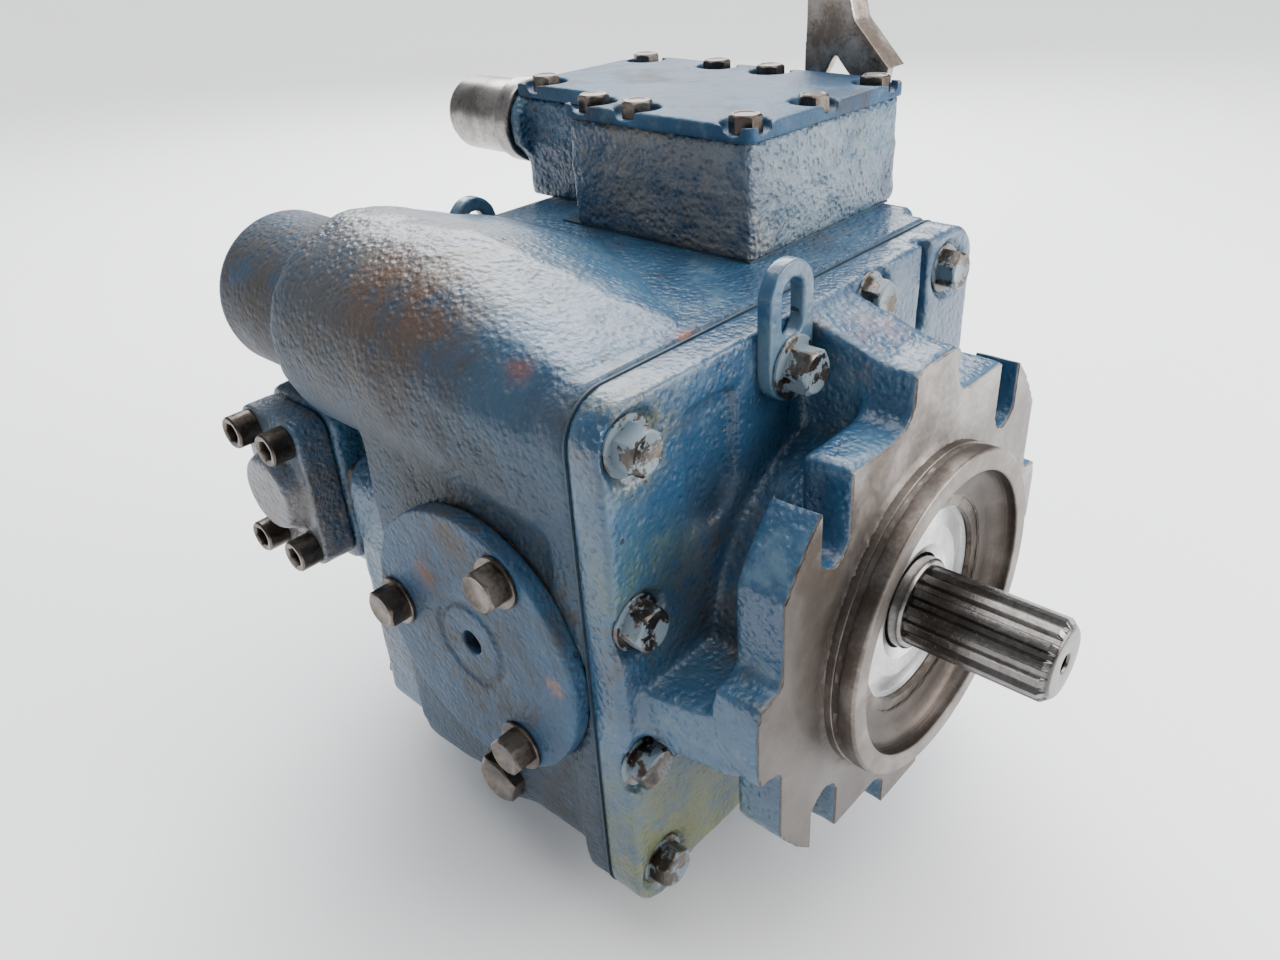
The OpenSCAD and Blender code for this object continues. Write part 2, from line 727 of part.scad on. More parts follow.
module servo_spring_body()
    translate([-servo_x, tr_y + 63, servo_z]) rotate([-90, 0, 0])
        spring_coil(sbore_r - 10, 2, servo_y1 + servo_cap_len - 12 - tr_y - 63, 7);

module servo_spring_left() color("silver") servo_spring_body();
module servo_spring_right() color("silver") rotate([0, 180, 0]) servo_spring_body();

module servo_cap_body() {
    y1 = servo_y1 + servo_cap_len;
    translate([-servo_x, 0, servo_z]) difference() {
        yturn([[0, servo_y1 - 13], [sbore_r + 6.9, servo_y1 - 13], [sbore_r + 6.9, servo_y1 + 0.1],
            [scap_r, servo_y1 + 1], [scap_r, y1 - 9], [scap_r - 1.2, y1 - 5.2],
            [scap_r - 4.2, y1 - 2], [scap_r - 9, y1 - 0.3], [0, y1]]);
        ycyl(sbore_r - 4, servo_y1 - 14, y1 - 8);
    }
}

module servo_cap_left() color("steelblue") servo_cap_body();
module servo_cap_right() color("steelblue") rotate([0, 180, 0]) servo_cap_body();

module box_outline(x_in = 0) {
    difference() {
        rrect(box_x0 + x_in, box_y0 + x_in, box_x1 - x_in, box_y1 - x_in, 4);
        translate([box_x0 - 1, step_y - x_in]) square([step_x - box_x0 + 1 + x_in, box_y1 - step_y + 5]);
    }
}

module control_housing() {
    color("steelblue") difference() {
        union() {
            translate([0, 0, box_z0]) linear_extrude(box_h) box_outline();
            intersection() {
                ycyl(spool_r + 8, box_y1 - 4, box_y1 + 3, spool_x, spool_z);
                translate([box_x0, box_y0, box_z0]) cube([box_w, box_l + 10, box_h]);
            }
            xcyl(15, box_x1 - 4, box_x1 + 4, lever_y, lever_z);
        }
        difference() {
            translate([0, 0, box_z0 + 6]) linear_extrude(box_h) box_outline(12);
            translate([spool_x - 14, box_y0, box_z0]) cube([28, 22, box_h]);
            translate([spool_x - 14, box_y1 - 52, box_z0]) cube([28, 52, box_h]);
            translate([box_x1 - 26, lever_y - 14, box_z0]) cube([26, 28, box_h]);
        }
        ycyl(spool_r + run, box_y0 + 6, box_y1 - 20, spool_x, spool_z);
        ycyl(4.2, box_y1 - 21, box_y1 + 10, spool_x, spool_z);
        xcyl(8 + run, spool_x + 20, box_x1 + 10, lever_y, lever_z);
        translate([spool_x - 8, box_y0 + 40, box_z0 - 1]) cube([16, 30, 12]);
        for (b = lid_bolts)
            translate([b[0], b[1], box_z1 - 7]) cylinder(h = 20, r = 3);
        for (b = [[box_x0 + 20, box_y0 + 12], [box_x1 - 20, box_y0 + 12]])
            translate([b[0], b[1], box_z0 - 1]) cylinder(h = 12, r = 4);
    }
}

module control_gasket() {
    color("dimgray") translate([0, 0, deck_z]) linear_extrude(gasket_t) difference() {
        translate([box_x0 + 0.6, box_y0 + 0.6]) square([box_w - 6, 100]);
        translate([spool_x - 8, box_y0 + 40]) square([16, 30]);
        for (b = [[box_x0 + 20, box_y0 + 12], [box_x1 - 20, box_y0 + 12]])
            translate([b[0], b[1]]) circle(r = 4);
    }
}

module control_lid() {
    color("slategray") difference() {
        translate([0, 0, box_z1]) linear_extrude(lid_t) box_outline(-0.8);
        for (b = lid_bolts) {
            translate([b[0], b[1], box_z1 + 2.4]) cylinder(h = 10, r = 9.2);
            translate([b[0], b[1], box_z1 - 1]) cylinder(h = 10, r = 3.2);
        }
    }
}

module control_lid_bolts() {
    color("slategray") for (b = lid_bolts) translate([b[0], b[1], box_z1 + 2.4]) {
        cylinder(h = 6.4, r = 11.1 / sqrt(3), $fn = 6);
        translate([0, 0, -8.6]) cylinder(h = 9, r = 2.95);
    }
}

module control_cap() {
    y0 = box_y1 + 3;
    color("dimgray") translate([spool_x, 0, spool_z]) difference() {
        yturn([[0, y0], [spool_r + 9.5, y0], [spool_r + 9.5, y0 + 10], [spool_r + 7.6, y0 + 11],
            [spool_r + 7.6, y0 + 41], [spool_r + 5.5, y0 + 45.5], [spool_r + 2, y0 + 47], [0, y0 + 47]]);
        ycyl(spool_r + 4.5, y0 - 1, y0 + 41);
    }
}

module control_spool() {
    y0 = box_y0 + 14;
    color("silver") translate([spool_x, 0, spool_z]) difference() {
        union() {
            ycyl(spool_r - 4, y0, box_y1 - 27);
            ycyl(spool_r, y0 + 2, y0 + 40);
            ycyl(spool_r, box_y1 - 68, box_y1 - 28);
            ycyl(4, box_y1 - 29, box_y1 + 36);
        }
        translate([-20, lever_y - 3.25, -6]) cube([40, 6.5, 20]);
        for (k = [0:2]) difference() {
            ycyl(spool_r + 1, box_y1 - 61 + k * 12, box_y1 - 57 + k * 12);
            ycyl(spool_r - 2.5, box_y1 - 62 + k * 12, box_y1 - 56 + k * 12);
        }
    }
}

module spring_cups() {
    color("dimgray") translate([spool_x, 0, spool_z]) for (y = [box_y1 + 3.1, box_y1 + 26])
        difference() {
            ycyl(spool_r + 1, y, y + 2.4);
            ycyl(4.15, y - 1, y + 4);
        }
}

module control_spring()
    color("silver") translate([spool_x, box_y1 + 5.5, spool_z]) rotate([-90, 0, 0])
        spring_coil(spool_r - 1.2, 1.2, 20.5, 6);

module lever_shaft() {
    color("silver") difference() {
        union() {
            xcyl(8, spool_x + 16, box_x1 + 20, lever_y, lever_z);
            xcyl(5, box_x1 + 19, box_x1 + 33, lever_y, lever_z);
            xplate(spool_x + 11, spool_x + 17) {
                translate([lever_y, lever_z]) circle(r = 9);
                translate([lever_y, lever_z + crank]) circle(r = 5);
                translate([lever_y - 5, lever_z]) square([10, crank]);
            }
            xcyl(3, spool_x - 3, spool_x + 12, lever_y, lever_z + crank);
        }
    }
}

module control_lever() {
    x0 = box_x1 + 8;
    top = lever_z + lever_len;
    color("saddlebrown") difference() {
        union() {
            xplate(x0, x0 + 5) {
                translate([lever_y, lever_z]) circle(r = 15);
                polygon([[lever_y - 24, lever_z + 34], [lever_y - 22, lever_z + 22],
                    [lever_y - 14, lever_z], [lever_y + 14, lever_z], [lever_y + 22, lever_z + 16],
                    [lever_y + 19, lever_z + 26], [lever_y + 18, top - 12], [lever_y + 2, top - 12],
                    [lever_y - 6, lever_z + 52]]);
                translate([lever_y + 10, top - 12]) circle(r = 8);
            }
            xplate(x0, x0 + 14) polygon([[lever_y - 24, lever_z + 34], [lever_y - 20.5, lever_z + 34],
                [lever_y - 2.5, lever_z + 52], [lever_y + 5, top - 14], [lever_y + 1.6, top - 14],
                [lever_y - 6, lever_z + 52]]);
            xcyl(12, x0 - 3.5, x0 + 12, lever_y, lever_z);
        }
        xcyl(8.02, x0 - 10, x0 + 20, lever_y, lever_z);
        xcyl(4.2, x0 - 2, x0 + 16, lever_y + 10, top - 12);
        xplate(x0 - 1, x0 + 6) polygon([[lever_y - 12, lever_z + 22], [lever_y + 12, lever_z + 22],
            [lever_y + 3, lever_z + 38]]);
    }
}

module lever_nut() {
    color("dimgray") difference() {
        union() {
            xcyl(10, box_x1 + 20, box_x1 + 22, lever_y, lever_z);
            translate([box_x1 + 22 - e, lever_y, lever_z]) rotate([0, 90, 0])
                cylinder(h = 8, r = 16 / sqrt(3), $fn = 6);
        }
        xcyl(5.02, box_x1 + 19, box_x1 + 40, lever_y, lever_z);
    }
}

module cap_outline()
    difference() {
        union() {
            rrect(-(half_w - 8), -(base_z - 4), half_w - 8, 38, 14);
            circle(r = eye_r);
        }
        for (s = [-1, 1]) translate([s * servo_x, -s * servo_z]) circle(r = servo_r + 1);
    }

module end_cap() {
    color("steelblue") difference() {
        union() {
            yplate(cap_y, cap_y + cap_plate) cap_outline();
            yplate(cap_y + cap_plate - 1, block_end_y)
                rrect(-(port_x - 22), -58, port_x - 22, 38, 10);
            for (s = [0, 1]) mirror([s, 0, 0])
                xplate(port_x - 30, port_x)
                    rrect(port_y - 24, port_z - 40, port_y + 24, port_top, 10);
            ycyl(charge_r, port_y - 24, block_end_y);
        }
        ycyl(servo_r + 1, cap_y - 1, block_end_y + 1, servo_x, -servo_z);
        ycyl(pocket_r, cap_y - 1, valve_y);
        ycyl(block_r - 1 + run, cap_y - 1, cap_floor);
        ycyl(shaft_r + 6, cap_floor - 1, cap_floor + 26);
        ycyl(12, cap_floor + 20, block_end_y + 1);
        for (s = [0, 1]) mirror([s, 0, 0]) {
            xcyl(port_d / 2, 36, port_x + 1, port_y, port_z);
            ycyl(9, cap_floor - 1, port_y + 2, piston_pcd / 2, 0);
            for (sy = [-1, 1], sz = [-1, 1])
                xcyl(5, port_x - 18, port_x + 1, port_y + sy * pf_sy / 2, port_z + sz * pf_sz / 2);
        }
        for (b = cap_bolts)
            ycyl(6.4, cap_y - 1, cap_y + cap_plate + 1, b[0], b[1]);
        for (a = [45:90:315])
            ycyl(4.2, block_end_y - 16, block_end_y + 1, cbolt_r * cos(a),
                cbolt_r * sin(a));
        ycyl(6, block_end_y - 12, block_end_y + 1, 56, -30);
    }
}

module end_cap_gasket() {
    color("dimgray") yplate(rear_y, cap_y) difference() {
        cap_outline();
        circle(r = pocket_r);
        for (b = cap_bolts)
            translate([b[0], b[1]]) circle(r = 6.4);
    }
}

module end_cap_bolts() {
    color("slategray") mirror([0, 1, 0]) for (b = cap_bolts)
        ybolt(b[0], b[1], -(cap_y + cap_plate), 12, 18, 8, cap_plate + 20);
}

module rear_bearing() {
    color("silver") difference() {
        ycyl(shaft_r + 6, cap_floor + 2, cap_floor + 22);
        ycyl(shaft_r - 1 + run, cap_floor, cap_floor + 24);
    }
}

module port_flange_body() {
    x0 = port_x;
    difference() {
        union() {
            xplate(x0, x0 + pf_t) rrect(port_y - pf_sy / 2 - 9, port_z - pf_sz / 2 - 9,
                port_y + pf_sy / 2 + 9, port_z + pf_sz / 2 + 9, 9);
            translate([x0 + pf_t, port_y, port_z]) rotate([0, 90, 0])
                cylinder(h = 8, r1 = 20, r2 = 16);
        }
        for (sy = [-1, 1], sz = [-1, 1])
            xcyl(5.3, x0 - 1, x0 + 40, port_y + sy * pf_sy / 2, port_z + sz * pf_sz / 2);
        for (sy = [-1, 1], sz = [-1, 1])
            xcyl(8, x0 + pf_t, x0 + 40, port_y + sy * pf_sy / 2, port_z + sz * pf_sz / 2);
    }
}

module port_flange_right() color("steelblue") port_flange_body();
module port_flange_left() color("steelblue") mirror([1, 0, 0]) port_flange_body();

module port_screws() {
    x1 = port_x + pf_t;
    color("dimgray") for (s = [0, 1]) mirror([s, 0, 0])
        for (sy = [-1, 1], sz = [-1, 1])
            translate([x1, port_y + sy * pf_sy / 2, port_z + sz * pf_sz / 2]) rotate([0, 90, 0])
                difference() {
                    union() {
                        cylinder(h = 10, r = 7.2);
                        translate([0, 0, -pf_t - 16]) cylinder(h = pf_t + 17, r = 5);
                    }
                    translate([0, 0, 5]) cylinder(h = 6, r = 8 / sqrt(3), $fn = 6);
                }
}

module charge_housing() {
    y0 = block_end_y;
    color("steelblue") difference() {
        union() {
            ycyl(charge_r, y0, y0 + 24);
            ycyl(charge_r - 16, y0 + 23, y0 + 30);
        }
        ycyl(33 + run, y0 - 1, gero_y0 + gero_t + 0.05, -gero_e, 0);
        ycyl(10, y0, gero_y0 + gero_t + 4);
        for (a = [45:90:315])
            ycyl(4.3, y0 - 1, y0 + 40, cbolt_r * cos(a), cbolt_r * sin(a));
    }
}

// lobed outline of the inner rotor, which rolls inside seven round teeth
function rotor_pt(t) =
    let (p = atan2(sin((1 - gero_n) * t), gero_d / (gero_e * gero_n) - cos((1 - gero_n) * t)))
    [gero_d * cos(t) - (gero_s + 0.08) * cos(t + p) - gero_e * cos(gero_n * t),
        -gero_d * sin(t) + (gero_s + 0.08) * sin(t + p) + gero_e * sin(gero_n * t)];

module charge_inner_rotor() {
    color("silver") yplate(gero_y0, gero_y0 + gero_t) difference() {
        polygon([for (i = [0:239]) rotor_pt(i * 1.5)]);
        circle(r = 9.02);
    }
}

module charge_outer_rotor() {
    color("gray") translate([-gero_e, 0, 0]) yplate(gero_y0, gero_y0 + gero_t) difference() {
        circle(r = 33);
        difference() {
            circle(r = gero_d - gero_s + 2 * gero_e + 0.25);
            for (i = [0:gero_n - 1]) rotate(i * 360 / gero_n)
                translate([gero_d, 0]) circle(r = gero_s);
        }
    }
}

module charge_bolts() {
    y1 = block_end_y + 24;
    color("slategray") mirror([0, 1, 0]) for (a = [45:90:315])
        ybolt(cbolt_r * cos(a), cbolt_r * sin(a), -y1, 8, 12, 6, 38);
}

module case_plugs() {
    color("dimgray") {
        translate([-wall_x - 2, tr_y + 4, -75]) rotate([0, -90, 0])
            cylinder(h = 6, r = 19 / sqrt(3), $fn = 6);
        xcyl(6.9, -wall_x - 2.5, -wall_x + 6, tr_y + 4, -75);
        ycyl(5.9, block_end_y - 11, block_end_y + 0.5, 56, -30);
        translate([56, block_end_y + 6, -30]) rotate([90, 0, 0])
            cylinder(h = 6, r = 16 / sqrt(3), $fn = 6);
    }
}

front_cover();
front_gasket();
cover_bolts();
input_shaft();
seal_retainer();
snap_ring();
shaft_seal();
front_bearing_outer();
front_bearing_inner();
front_bearing_rollers();
main_housing();
cylinder_block();
pistons();
slippers();
slipper_retainer();
ball_guide();
block_springs();
bearing_plate();
valve_plate();
swashplate();
trunnion_bearings();
trunnion_cover_left();
trunnion_cover_right();
trunnion_shims();
trunnion_bolts();
servo_piston_left();
servo_piston_right();
servo_spring_left();
servo_spring_right();
servo_cap_left();
servo_cap_right();
servo_links();
control_housing();
control_gasket();
control_lid();
control_lid_bolts();
control_cap();
control_spool();
control_spring();
spring_cups();
lever_shaft();
control_lever();
lever_nut();
end_cap();
end_cap_gasket();
end_cap_bolts();
rear_bearing();
port_flange_left();
port_flange_right();
port_screws();
charge_housing();
charge_inner_rotor();
charge_outer_rotor();
charge_bolts();
lifting_straps();
strap_bolts();
case_plugs();
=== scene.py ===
import json
import math

import bmesh
import bpy
import numpy as np
from mathutils import Matrix, Vector


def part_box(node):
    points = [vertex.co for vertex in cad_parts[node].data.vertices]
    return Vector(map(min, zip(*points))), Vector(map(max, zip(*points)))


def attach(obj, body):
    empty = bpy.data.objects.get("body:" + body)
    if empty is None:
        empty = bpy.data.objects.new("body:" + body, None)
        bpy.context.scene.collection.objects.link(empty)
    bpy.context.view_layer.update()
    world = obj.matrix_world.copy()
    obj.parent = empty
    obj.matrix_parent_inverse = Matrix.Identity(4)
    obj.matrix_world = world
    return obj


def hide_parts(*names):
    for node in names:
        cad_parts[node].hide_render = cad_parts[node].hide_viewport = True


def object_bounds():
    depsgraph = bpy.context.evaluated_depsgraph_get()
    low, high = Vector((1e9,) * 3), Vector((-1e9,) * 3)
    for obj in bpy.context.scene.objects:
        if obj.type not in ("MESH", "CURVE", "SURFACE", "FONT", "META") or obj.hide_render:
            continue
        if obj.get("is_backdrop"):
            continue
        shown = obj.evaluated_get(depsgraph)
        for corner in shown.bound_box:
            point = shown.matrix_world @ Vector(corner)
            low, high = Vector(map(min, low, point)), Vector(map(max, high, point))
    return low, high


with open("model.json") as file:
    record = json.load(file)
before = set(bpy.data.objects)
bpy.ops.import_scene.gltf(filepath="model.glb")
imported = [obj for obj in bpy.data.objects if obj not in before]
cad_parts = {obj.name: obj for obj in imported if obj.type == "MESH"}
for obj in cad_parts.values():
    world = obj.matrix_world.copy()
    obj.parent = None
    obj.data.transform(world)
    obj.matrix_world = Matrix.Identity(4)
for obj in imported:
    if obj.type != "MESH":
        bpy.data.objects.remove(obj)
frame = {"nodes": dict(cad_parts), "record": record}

MM = 0.001
X, Y, Z = 0, 1, 2
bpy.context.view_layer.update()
nodes = frame["nodes"]
body_of = {n: b for b, members in frame["record"]["behaviour"]["bodies"].items() for n in members}
slot_of = {s["node"]: s["material_slot"] for s in frame["record"]["subparts"]}

# Sizes in millimetres that the frame doesn't carry
HEX_AF = 14.3
LID_AF = 11.1
WASHER_R = 10.0


# ---------------------------------------------------------------- finishes

class Sock:
    """A shader socket that takes part in ordinary Python sums."""

    def __init__(self, finish, socket):
        self.finish = finish
        self.socket = socket

    def _sum(self, operation, left, right):
        return self.finish.node("ShaderNodeMath", {"operation": operation}, {0: left, 1: right})

    def __add__(self, other):
        return self._sum("ADD", self, other)

    def __radd__(self, other):
        return self._sum("ADD", other, self)

    def __sub__(self, other):
        return self._sum("SUBTRACT", self, other)

    def __rsub__(self, other):
        return self._sum("SUBTRACT", other, self)

    def __mul__(self, other):
        return self._sum("MULTIPLY", self, other)

    def __rmul__(self, other):
        return self._sum("MULTIPLY", other, self)

    def __pow__(self, other):
        return self._sum("POWER", self, other)


class Finish:
    """A procedural finish that is read in Object coordinates, in metres."""

    def __init__(self, name):
        self.material = bpy.data.materials.new(name)
        self.material.use_nodes = True
        self.tree = self.material.node_tree
        self.shader = self.tree.nodes["Principled BSDF"]
        self.place = self.node("ShaderNodeTexCoord", out="Object")
        self.x, self.y, self.z = (
            self.node("ShaderNodeSeparateXYZ", inputs={0: self.place}, out=k) for k in range(3))

    def node(self, kind, settings=None, inputs=None, out=0):
        """Adds a node: its settings first, then the values or links of its sockets."""
        made = self.tree.nodes.new(kind)
        for key, value in (settings or {}).items():
            if key == "stops":
                ramp = made.color_ramp
                while len(ramp.elements) < len(value):
                    ramp.elements.new(0.5)
                for element, (spot, colour) in zip(ramp.elements, value):
                    element.position = spot
                    element.color = (*colour, 1)
            else:
                setattr(made, key, value)
        for key, value in (inputs or {}).items():
            self.plug(made.inputs[key], value)
        return Sock(self, made.outputs[out])

    def plug(self, socket, value):
        """Links a socket or sets its value; a colour gets an alpha of 1."""
        if isinstance(value, Sock):
            self.tree.links.new(value.socket, socket)
        elif isinstance(value, tuple) and len(value) == 3 and socket.type == "RGBA":
            socket.default_value = (*value, 1)
        else:
            socket.default_value = value

    def noise(self, size_mm, detail=3.0, rough=0.5, twist=0.0):
        """Soft noise between 0 and 1 whose patches are about size_mm across."""
        return self.node("ShaderNodeTexNoise", None, {
            "Vector": self.place, "Scale": 1.0 / (size_mm * MM), "Detail": detail,
            "Roughness": rough, "Distortion": twist})

    def cells(self, size_mm, stretch=None):
        """Distance from the nearest of many scattered points, about size_mm apart."""
        where = self.place
        if stretch:
            where = self.node("ShaderNodeVectorMath", {"operation": "MULTIPLY"},
                              {0: self.place, 1: stretch})
        return self.node("ShaderNodeTexVoronoi", {"feature": "F1"}, {
            "Vector": where, "Scale": 1.0 / (size_mm * MM)}, out="Distance")

    def rise(self, value, low, high):
        """0 below low, 1 above high, smooth between; low above high turns it round."""
        flip = low > high
        return self.node("ShaderNodeMapRange", {"interpolation_type": "SMOOTHSTEP"}, {
            "Value": value, "From Min": min(low, high), "From Max": max(low, high),
            "To Min": 1.0 if flip else 0.0, "To Max": 0.0 if flip else 1.0})

    def mix(self, amount, first, second):
        """The first colour where amount is 0 and the second where it is 1."""
        return self.node("ShaderNodeMix", {"data_type": "RGBA"},
                         {0: amount, 6: first, 7: second}, out=2)

    def spot(self, centre_mm, reach_mm):
        """1 within 0.15 of reach_mm from a place on the object, fading to 0 at reach_mm."""
        away = self.node("ShaderNodeVectorMath", {"operation": "SUBTRACT"},
                         {0: self.place, 1: tuple(c * MM for c in centre_mm)})
        away = self.node("ShaderNodeVectorMath", {"operation": "LENGTH"}, {0: away}, out="Value")
        return self.rise(away, reach_mm * MM, reach_mm * MM * 0.15)

    def edge(self):
        """Over 0.5 on an outside edge and under 0.5 in an inside corner."""
        return self.node("ShaderNodeNewGeometry", out="Pointiness")

    def bump(self, height, depth_mm):
        """Normal of a surface raised by height times depth_mm."""
        return self.node("ShaderNodeBump", None, {"Height": height, "Distance": depth_mm * MM})

    def done(self, colour, rough, metallic=0.0, normal=None, coat=0.0, coat_rough=0.2,
             specular=0.5):
        """Fills the surface shader and gives the finished material."""
        for key, value in (("Base Color", colour), ("Roughness", rough), ("Metallic", metallic),
                           ("Coat Weight", coat), ("Coat Roughness", coat_rough),
                           ("Specular IOR Level", specular)):
            self.plug(self.shader.inputs[key], value)
        if normal:
            self.plug(self.shader.inputs["Normal"], normal)
        return self.material


DEEP_BLUE = (0.018, 0.061, 0.122)
MID_BLUE = (0.032, 0.098, 0.178)
PALE_BLUE = (0.078, 0.140, 0.198)
GRIME = (0.052, 0.043, 0.037)
RUST = (0.105, 0.058, 0.034)
PRIMER = (0.300, 0.070, 0.030)
WORN_EDGE = (0.150, 0.135, 0.120)
CORNER_SHADE = (0.030, 0.026, 0.024)
CHIP = (0.022, 0.020, 0.022)
LEFT_SHADE_BLUE = (0.012, 0.018, 0.026)
OIL = (0.028, 0.023, 0.020)
THIN_PAINT = (0.150, 0.205, 0.245)


def painted_casting(name, tone=0.0, grime=0.35, grain=1.0, spots=(), bare=None, flecks=0.0,
                    gloss=0.36, coat=0.20, specular=0.5, dull_shaded_left=False):
    """Blue paint over rough cast iron: patchy blue, patchy brown dirt, painted shade in inside
    corners, worn edges, small chips, and stains and painted shade at given spots (centre, reach,
    colour, strength). A shaded left side loses its gloss and is darkened with painted shade."""
    f = Finish(name)
    wide = f.noise(85, 3, 0.55)
    mid = f.noise(22, 4, 0.6)
    fine = f.noise(5, 3, 0.6)
    blue = f.mix(f.rise(wide + (mid - 0.5) * 0.5, 0.38 - tone, 0.66 - tone), DEEP_BLUE, MID_BLUE)
    blue = f.mix(f.rise(mid + (fine - 0.5) * 0.6, 0.52 - tone, 0.80 - tone), blue, PALE_BLUE)
    dirt = f.rise(f.noise(34, 5, 0.65, twist=0.6) + (fine - 0.5) * 0.25,
                  0.66 - grime * 0.45, 0.86 - grime * 0.30) * 0.75
    colour = f.mix(dirt, blue, GRIME)
    # Each spot mixes in its colour; most spots are stains, and a few are painted shade.
    for centre, reach, stain, strength in spots:
        where = f.spot(centre, reach) * f.rise(mid + (fine - 0.5) * 0.7, 0.62 - strength * 0.4, 0.72)
        colour = f.mix(where * min(1.0, strength * 1.25), colour, stain)
    edge = f.edge()
    worn = f.rise(edge + (fine - 0.5) * 0.07, 0.535, 0.585) * 0.50
    # Painted shade: inside corners, where pointiness is low, go near black.
    corner_shade = f.rise(edge + (fine - 0.5) * 0.04, 0.480, 0.440) * 0.65
    colour = f.mix(worn, colour, WORN_EDGE)
    colour = f.mix(corner_shade, colour, CORNER_SHADE)
    chips = f.rise(f.cells(7.5, stretch=(1, 0.55, 1)) + (fine - 0.5) * 0.25, 0.15, 0.10)
    chips = chips * f.rise(f.noise(28, 2), 0.60 - flecks, 0.66 - flecks)
    colour = f.mix(chips * 0.85, colour, CHIP)
    orange_peel = f.noise(2.2, 2, 0.5) * 0.75 + f.noise(6.5, 2, 0.5) * 0.8
    pits = f.rise(f.cells(3.0), 0.0, 0.60) * 0.50
    sand = f.noise(0.9, 2, 0.6) * 0.18
    height = (orange_peel + pits + sand) * grain - chips * 0.5
    rough = gloss + dirt * 0.16 + worn * 0.15 + (mid - 0.5) * 0.22
    # Painted shade on the left side, from x = -90 mm outwards, where the paint also loses gloss.
    if dull_shaded_left:
        dull_and_shade = f.rise(f.x, -0.090, -0.106)
        colour = f.mix(dull_and_shade * 0.45, colour, LEFT_SHADE_BLUE)
        rough = rough + dull_and_shade * 0.20
        coat = (1 - dull_and_shade) * coat
    metal = 0.0
    if bare is not None:
        machined = bare(f)
        steel = machined_colour(f)
        colour = f.mix(machined, colour, steel)
        rough = rough * (1 - machined) + machined * (0.34 + (mid - 0.5) * 0.3)
        metal = machined * 0.75
        height = height * (1 - machined * 0.93) + turned_marks(f) * machined * 0.05
    return f.done(colour, rough, metal, f.bump(height, 0.85), coat=coat, coat_rough=0.16,
                  specular=specular)


def machined_colour(f):
    """Bare machined iron, warm grey with darker stains and faint brown."""
    patch = f.noise(30, 4, 0.62, twist=0.4)
    speck = f.noise(3, 4, 0.7)
    colour = f.mix(f.rise(patch + (speck - 0.5) * 0.35, 0.35, 0.72),
                   (0.098, 0.078, 0.064), (0.300, 0.278, 0.262))
    brown = f.rise(f.x * 0.5 + f.z + (patch - 0.5) * 0.05, 0.085, -0.015) * 0.80
    colour = f.mix(brown, colour, (0.060, 0.047, 0.038))
    oily = f.rise(f.noise(16, 5, 0.7, twist=0.8), 0.60, 0.76) * 0.55
    return f.mix(oily, colour, (0.070, 0.055, 0.045))


def turned_marks(f):
    """Fine rings about the shaft axis, 0.5 mm apart."""
    across = f.node("ShaderNodeVectorMath", {"operation": "MULTIPLY"}, {0: f.place, 1: (1, 0, 1)})
    radius = f.node("ShaderNodeVectorMath", {"operation": "LENGTH"}, {0: across}, out="Value")
    return f.node("ShaderNodeMath", {"operation": "SINE"}, {0: radius * (2 * math.pi / (0.5 * MM))})


def steel(name, base, dark, rough=0.34, stain=0.4, rust=0.0, marks=0.0, paint=0.0, shade=None):
    """Oiled steel: two tones of metal, dark oil stains, a little rust in patches, the blue paint that
    is left on it, and painted shade as a darker copy of the metal where shade marks it."""
    f = Finish(name)
    patch = f.noise(14, 4, 0.6, twist=0.3)
    speck = f.noise(1.6, 3, 0.65)
    colour = f.mix(f.rise(patch + (speck - 0.5) * 0.4, 0.36, 0.70), dark, base)
    oil = f.rise(f.noise(6, 4, 0.7, twist=0.5), 0.70 - stain * 0.35, 0.86 - stain * 0.2)
    colour = f.mix(oil * 0.7, colour, OIL)
    rusty = f.rise(f.noise(9, 5, 0.7) + (speck - 0.5) * 0.3, 0.78 - rust * 0.4, 0.88 - rust * 0.25)
    colour = f.mix(rusty * min(1.0, rust * 2), colour, RUST)
    if shade:
        # Painted shade: a darker copy of the metal where shade() marks.
        colour = f.mix(shade(f), colour, tuple(c * 0.38 for c in dark))
    height = speck * 0.5 + f.noise(0.7, 2) * 0.3
    if marks:
        height = height * 0.4 + turned_marks(f) * marks
    roughness = rough + oil * 0.12 + rusty * 0.3 + (speck - 0.5) * 0.12
    if paint:
        left = f.rise(f.noise(7, 4, 0.65) + (speck - 0.5) * 0.25, 0.72 - paint * 0.4, 0.76 - paint * 0.4)
        colour = f.mix(left * 0.9, colour, THIN_PAINT)
        return f.done(colour, roughness, (1 - rusty) * (1 - left),
                      f.bump(height + left * 0.6, 0.16))
    return f.done(colour, roughness, 1 - rusty, f.bump(height, 0.12))


def sheet_dark(name, base):
    """Dull dark sheet with a pressed fibre grain."""
    f = Finish(name)
    grain = f.noise(1.2, 3, 0.6)
    colour = f.mix(f.rise(f.noise(8, 3), 0.3, 0.7), base, tuple(c * 1.7 for c in base))
    return f.done(colour, 0.62 + (grain - 0.5) * 0.2, 0.0, f.bump(grain, 0.1))


def bronze():
    """Machined bronze in two tones."""
    f = Finish("machined_bronze")
    patch = f.noise(9, 4, 0.6)
    colour = f.mix(f.rise(patch, 0.35, 0.7), (0.40, 0.25, 0.09), (0.62, 0.43, 0.19))
    return f.done(colour, 0.30 + (patch - 0.5) * 0.2, 1.0, f.bump(f.noise(0.8, 2), 0.05))


def front_bare(f):
    """The machined face and spigot of the flange, in front of the mounting plane."""
    ragged = (f.noise(6, 3) - 0.5) * 0.0012
    return f.rise(f.y + ragged, 0.0010, 0.0003)


def shaft_end_shade(f):
    """Painted shade on the shaft's end face, in front of its bevel."""
    return f.rise(f.y, -0.0548, -0.0560) * 0.75


def spigot_recess_shade(f):
    """Painted shade in the recess inside the spigot's rim."""
    return f.rise((f.x * f.x + f.z * f.z) ** 0.5, 0.0570, 0.0545) * 0.7


# ---------------------------------------------------------------- mesh tools

